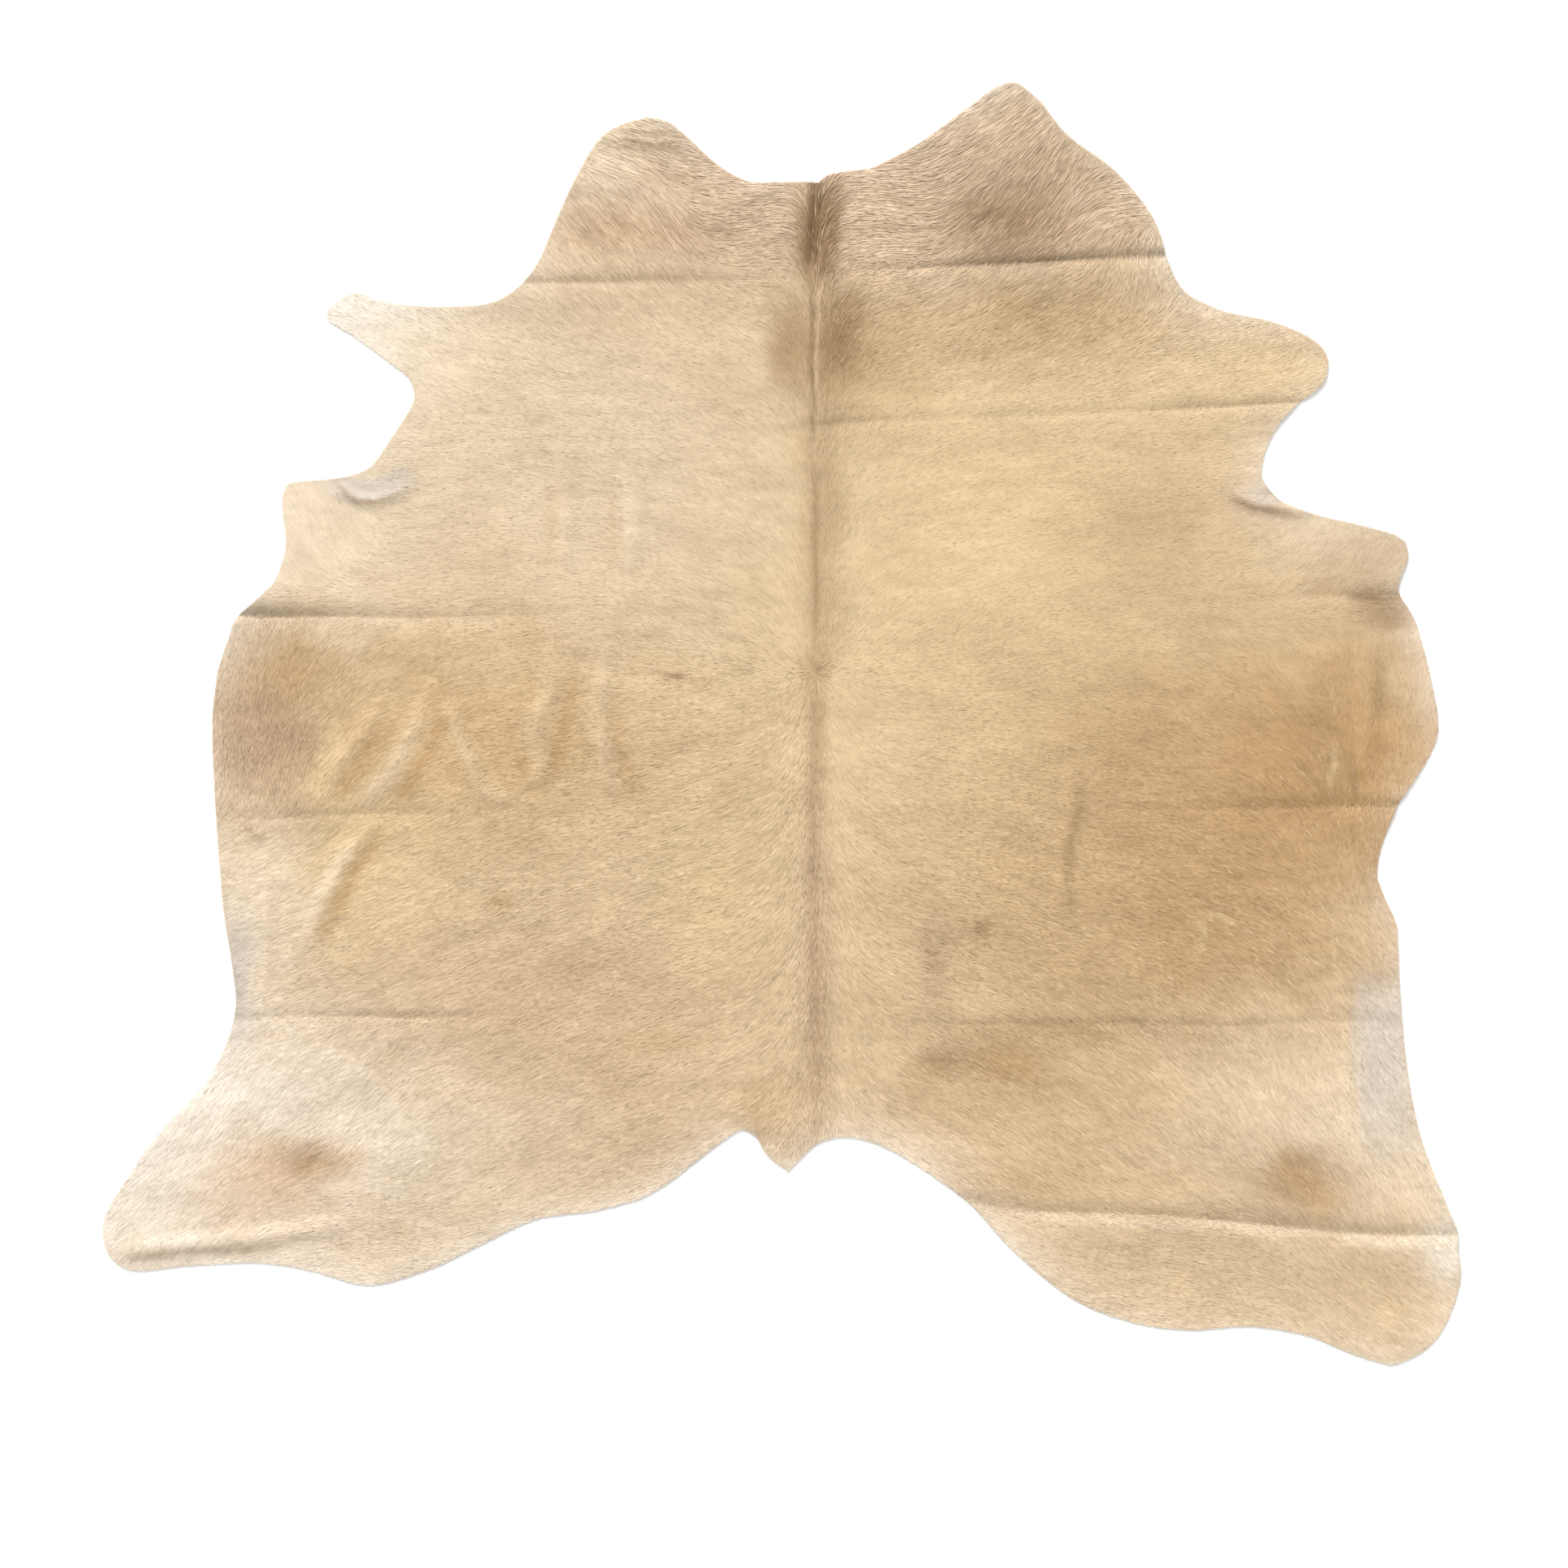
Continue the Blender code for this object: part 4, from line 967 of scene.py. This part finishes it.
# Geometry nodes that root a lock at each point of a band and comb it along the flow
def combingNodes(locks):
    tree = bpy.data.node_groups.new("combed coat", "GeometryNodeTree")
    tree.interface.new_socket("Geometry", in_out="INPUT", socket_type="NodeSocketGeometry")
    tree.interface.new_socket("Geometry", in_out="OUTPUT", socket_type="NodeSocketGeometry")
    nodes = Nodes(tree)

    def named(name, kind):
        return nodes.out("GeometryNodeInputNamedAttribute", {"data_type": kind}, {"Name": name})

    def drawn(low, high, seed):
        return nodes.out("FunctionNodeRandomValue", {"data_type": "FLOAT_VECTOR"},
                         {0: low, 1: high, "Seed": seed})

    band = nodes.out("NodeGroupInput")
    roots = nodes.out("GeometryNodeDistributePointsOnFaces", {"distribute_method": "POISSON"},
                      {"Mesh": band, "Distance Min": coat["spacing"], "Density Max": coat["most"],
                       "Seed": coat["seed"]})
    combed = nodes.out("FunctionNodeAxesToRotation", {"primary_axis": "X", "secondary_axis": "Z"},
                       {"Primary Axis": named("flow", "FLOAT_VECTOR"), "Secondary Axis": (0, 0, 1)})
    lean = [radians(angle) for angle in coat["lean"]]
    lean = nodes.out("ShaderNodeVectorMath", {"operation": "SCALE"},
                     {0: drawn([-angle for angle in lean], lean, coat["seed"] + 1),
                      "Scale": named("rough", "FLOAT")})
    leaning = nodes.out("FunctionNodeEulerToRotation", {}, {0: lean})
    turned = nodes.out("FunctionNodeRotateRotation", {"rotation_space": "LOCAL"},
                       {"Rotation": combed, "Rotate By": leaning})
    sizes = [coat["length"], coat["width"], coat["rise"]]
    size = drawn([low for low, high in sizes], [high for low, high in sizes], coat["seed"] + 2)
    size = nodes.out("ShaderNodeVectorMath", {"operation": "MULTIPLY"},
                     {0: size, 1: named("growth", "FLOAT_VECTOR")})
    shapes = nodes.out("GeometryNodeCollectionInfo", {},
                       {"Collection": locks, "Separate Children": True, "Reset Children": True})
    placed = nodes.out("GeometryNodeInstanceOnPoints", {},
                       {"Points": roots, "Instance": shapes, "Pick Instance": True,
                        "Rotation": turned, "Scale": size})
    joined = nodes.out("GeometryNodeRealizeInstances", {}, {"Geometry": placed})
    nodes.add("NodeGroupOutput", {}, {0: joined})
    return tree


# The part of the flat sheet between two places along the body
def bandOf(sheet, low, high):
    band = sheet.copy()
    for place, way in ((low, -1), (high, 1)):
        bmesh.ops.bisect_plane(band, geom=allOf(band), plane_co=(0, place, 0), plane_no=(0, way, 0),
                               clear_outer=True)
    return meshOf(band, "band")


# How near each place is to a fold's line, less where the fold is low
def creased(x, y):
    share = np.zeros_like(x)
    for name in folds:
        line, rise, _ = foldAt(name, x)
        near = np.exp(-((y - line) / coat["creaseReach"]) ** 2)
        share = np.maximum(share, np.clip(rise / coat["creaseRise"], 0, 1) * near)
    return share


# Stores the hair's flow and its growth, which is shorter where it would hang over the edge
def storeLie(mesh, rim):
    x, y, _ = vertPlaces(mesh).T
    flowX, flowY = hairFlow(x, y)
    step = coat["lookBehind"]
    inside = edgeDistance(x, y, rim)
    behind = edgeDistance(x - flowX * step, y - flowY * step, rim)
    outward = np.clip((behind - inside) / step, coat["leastOutward"], 1)
    rough = [np.interp(y, *zip(*coat[side])) for side in ("roughLeft", "roughRight")]
    rough = np.where(x < comb["spine"], *rough)
    neck = np.clip((rough - coat["neckFrom"]) / coat["neckOver"], 0, 1)
    longer = (1 + coat["neckLength"] * neck) * (1 - coat["creaseTrim"] * creased(x, y))
    room = (inside + coat["overhang"]) / (coat["length"][1] * longer * outward)
    growth = np.clip(room, coat["shortest"], 1)
    narrow = np.interp(rough, *zip(*coat["widthShare"]))
    fluff = coat["edgeRise"] + (1 - coat["edgeRise"]) * growth
    fluff *= coat["smoothRise"] + (1 - coat["smoothRise"]) * np.minimum(rough, coat["mostRough"])
    storeOn(mesh, "flow", "FLOAT_VECTOR", np.column_stack((flowX, flowY, 0 * flowX)))
    storeOn(mesh, "growth", "FLOAT_VECTOR", np.column_stack((growth * longer, narrow, fluff)))
    storeOn(mesh, "rough", "FLOAT", rough)
    storeOn(mesh, "inside", "FLOAT", inside)


# Gives every lock its own cell of the bake layout
def spreadLayout(mesh, count):
    layout = mesh.uv_layers["OFBake"].uv
    places = np.empty(len(mesh.loops) * 2, np.float32)
    layout.foreach_get("vector", places)
    across = int(np.ceil(np.sqrt(count)))
    number = np.repeat(np.arange(count), len(mesh.loops) // count)
    cells = np.column_stack((number % across, number // across))
    layout.foreach_set("vector", ((places.reshape(-1, 2) + cells) / across).astype(np.float32).ravel())


def buildBand(name, mesh, tree, material, seed):
    piece = newPiece("coat_" + name, mesh)
    combing = piece.modifiers.new("combing", "NODES")
    combing.node_group = tree
    graph = bpy.context.evaluated_depsgraph_get()
    combed = bpy.data.meshes.new_from_object(piece.evaluated_get(graph), depsgraph=graph,
                                             preserve_all_data_layers=True)
    piece.modifiers.clear()
    piece.data = combed
    places = vertPlaces(combed)
    along, inside = readFrom(combed, "along"), readFrom(combed, "inside")
    places[:, 2] += skinLift(places[:, 0], places[:, 1]) + skin["thickness"]
    setPlaces(combed, places)
    corners = 4     # of a lock, its root among them
    rooted = along == 0
    rootX, rootY, _ = places[rooted].T
    tint = np.repeat(coatTint(rootX, rootY, inside[rooted]), corners, axis=0)
    storeTint(combed, marksAndPaintedShade(tint, places[:, 0], places[:, 1]))
    drawn = np.random.default_rng(seed).random(len(rootX))
    storeOn(combed, "shade", "FLOAT", np.repeat(drawn, corners))
    for label, cell, reach in coat["streaks"]:
        values = streaks(rootX, rootY, cell, reach, coat["seed"])
        storeOn(combed, label, "FLOAT", np.repeat(values, corners))
    for spent in ("flow", "growth", "inside"):
        combed.attributes.remove(combed.attributes[spent])
    spreadLayout(combed, len(rootX))
    combed.materials.clear()
    combed.materials.append(material)
    print(piece.name, len(rootX), "locks", len(combed.polygons), "faces")
    return piece


locks = lockCollection()
tree = combingNodes(locks)
combedHair = newMaterial("combed hair", hairLook, hairFeeds)
ends = np.linspace(cadHigh.y + coat["pastEnds"], cadLow.y - coat["pastEnds"], len(coat["bands"]) + 1)
for number, name in enumerate(coat["bands"]):
    mesh = bandOf(sheet, ends[number + 1], ends[number])
    storeLie(mesh, rim)
    piece = buildBand(name, mesh, tree, combedHair, coat["seed"] + number)
    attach(piece, "root")
sheet.free()
for lock in list(locks.objects):
    bpy.data.objects.remove(lock)
bpy.data.collections.remove(locks)
print("coat combed")


# Floor, light and camera

studio = {
    "floor": 12.0, "floorColour": (0.95, 0.95, 0.94, 1), "floorRoughness": 0.9,
    "world": 0.80,
    "sun": 2.9,
    "sunHeight": 33, "sunTurn": 22, "sunSpread": 30,    # degrees, the turn from +Y to the left
    "lens": 85,
    "view": (0.0034, -0.0972),      # the middle of the picture
    "width": 2.5375,                # what the picture is across
}


def buildFloor():
    ground = bmesh.new()
    bmesh.ops.create_grid(ground, x_segments=1, y_segments=1, size=studio["floor"] / 2)
    mesh = meshOf(ground, "floor")
    material = bpy.data.materials.new("pale floor")
    material.use_nodes = True
    shader = material.node_tree.nodes["Principled BSDF"]
    shader.inputs["Base Color"].default_value = studio["floorColour"]
    shader.inputs["Roughness"].default_value = studio["floorRoughness"]
    mesh.materials.append(material)
    newPiece("floor", mesh)


def buildLight():
    world = bpy.data.worlds.new("studio")
    world.use_nodes = True
    world.node_tree.nodes["Background"].inputs["Color"].default_value = (1, 1, 1, 1)
    world.node_tree.nodes["Background"].inputs["Strength"].default_value = studio["world"]
    bpy.context.scene.world = world
    light = bpy.data.lights.new("key", "SUN")
    light.energy, light.angle = studio["sun"], radians(studio["sunSpread"])
    height, turn = radians(studio["sunHeight"]), radians(studio["sunTurn"])
    towards = Vector((-sin(turn) * cos(height), cos(turn) * cos(height), sin(height)))
    newPiece("key", light).rotation_euler = towards.to_track_quat("Z", "Y").to_euler()


def buildCamera():
    camera = bpy.data.cameras.new("camera")
    camera.lens = studio["lens"]
    height = studio["width"] * camera.lens / camera.sensor_width
    eye = newPiece("camera", camera)
    eye.location = (*studio["view"], height)
    bpy.context.scene.camera = eye
    bpy.context.scene.view_settings.view_transform = "Standard"


buildFloor()
buildLight()
buildCamera()
print("scene ready")
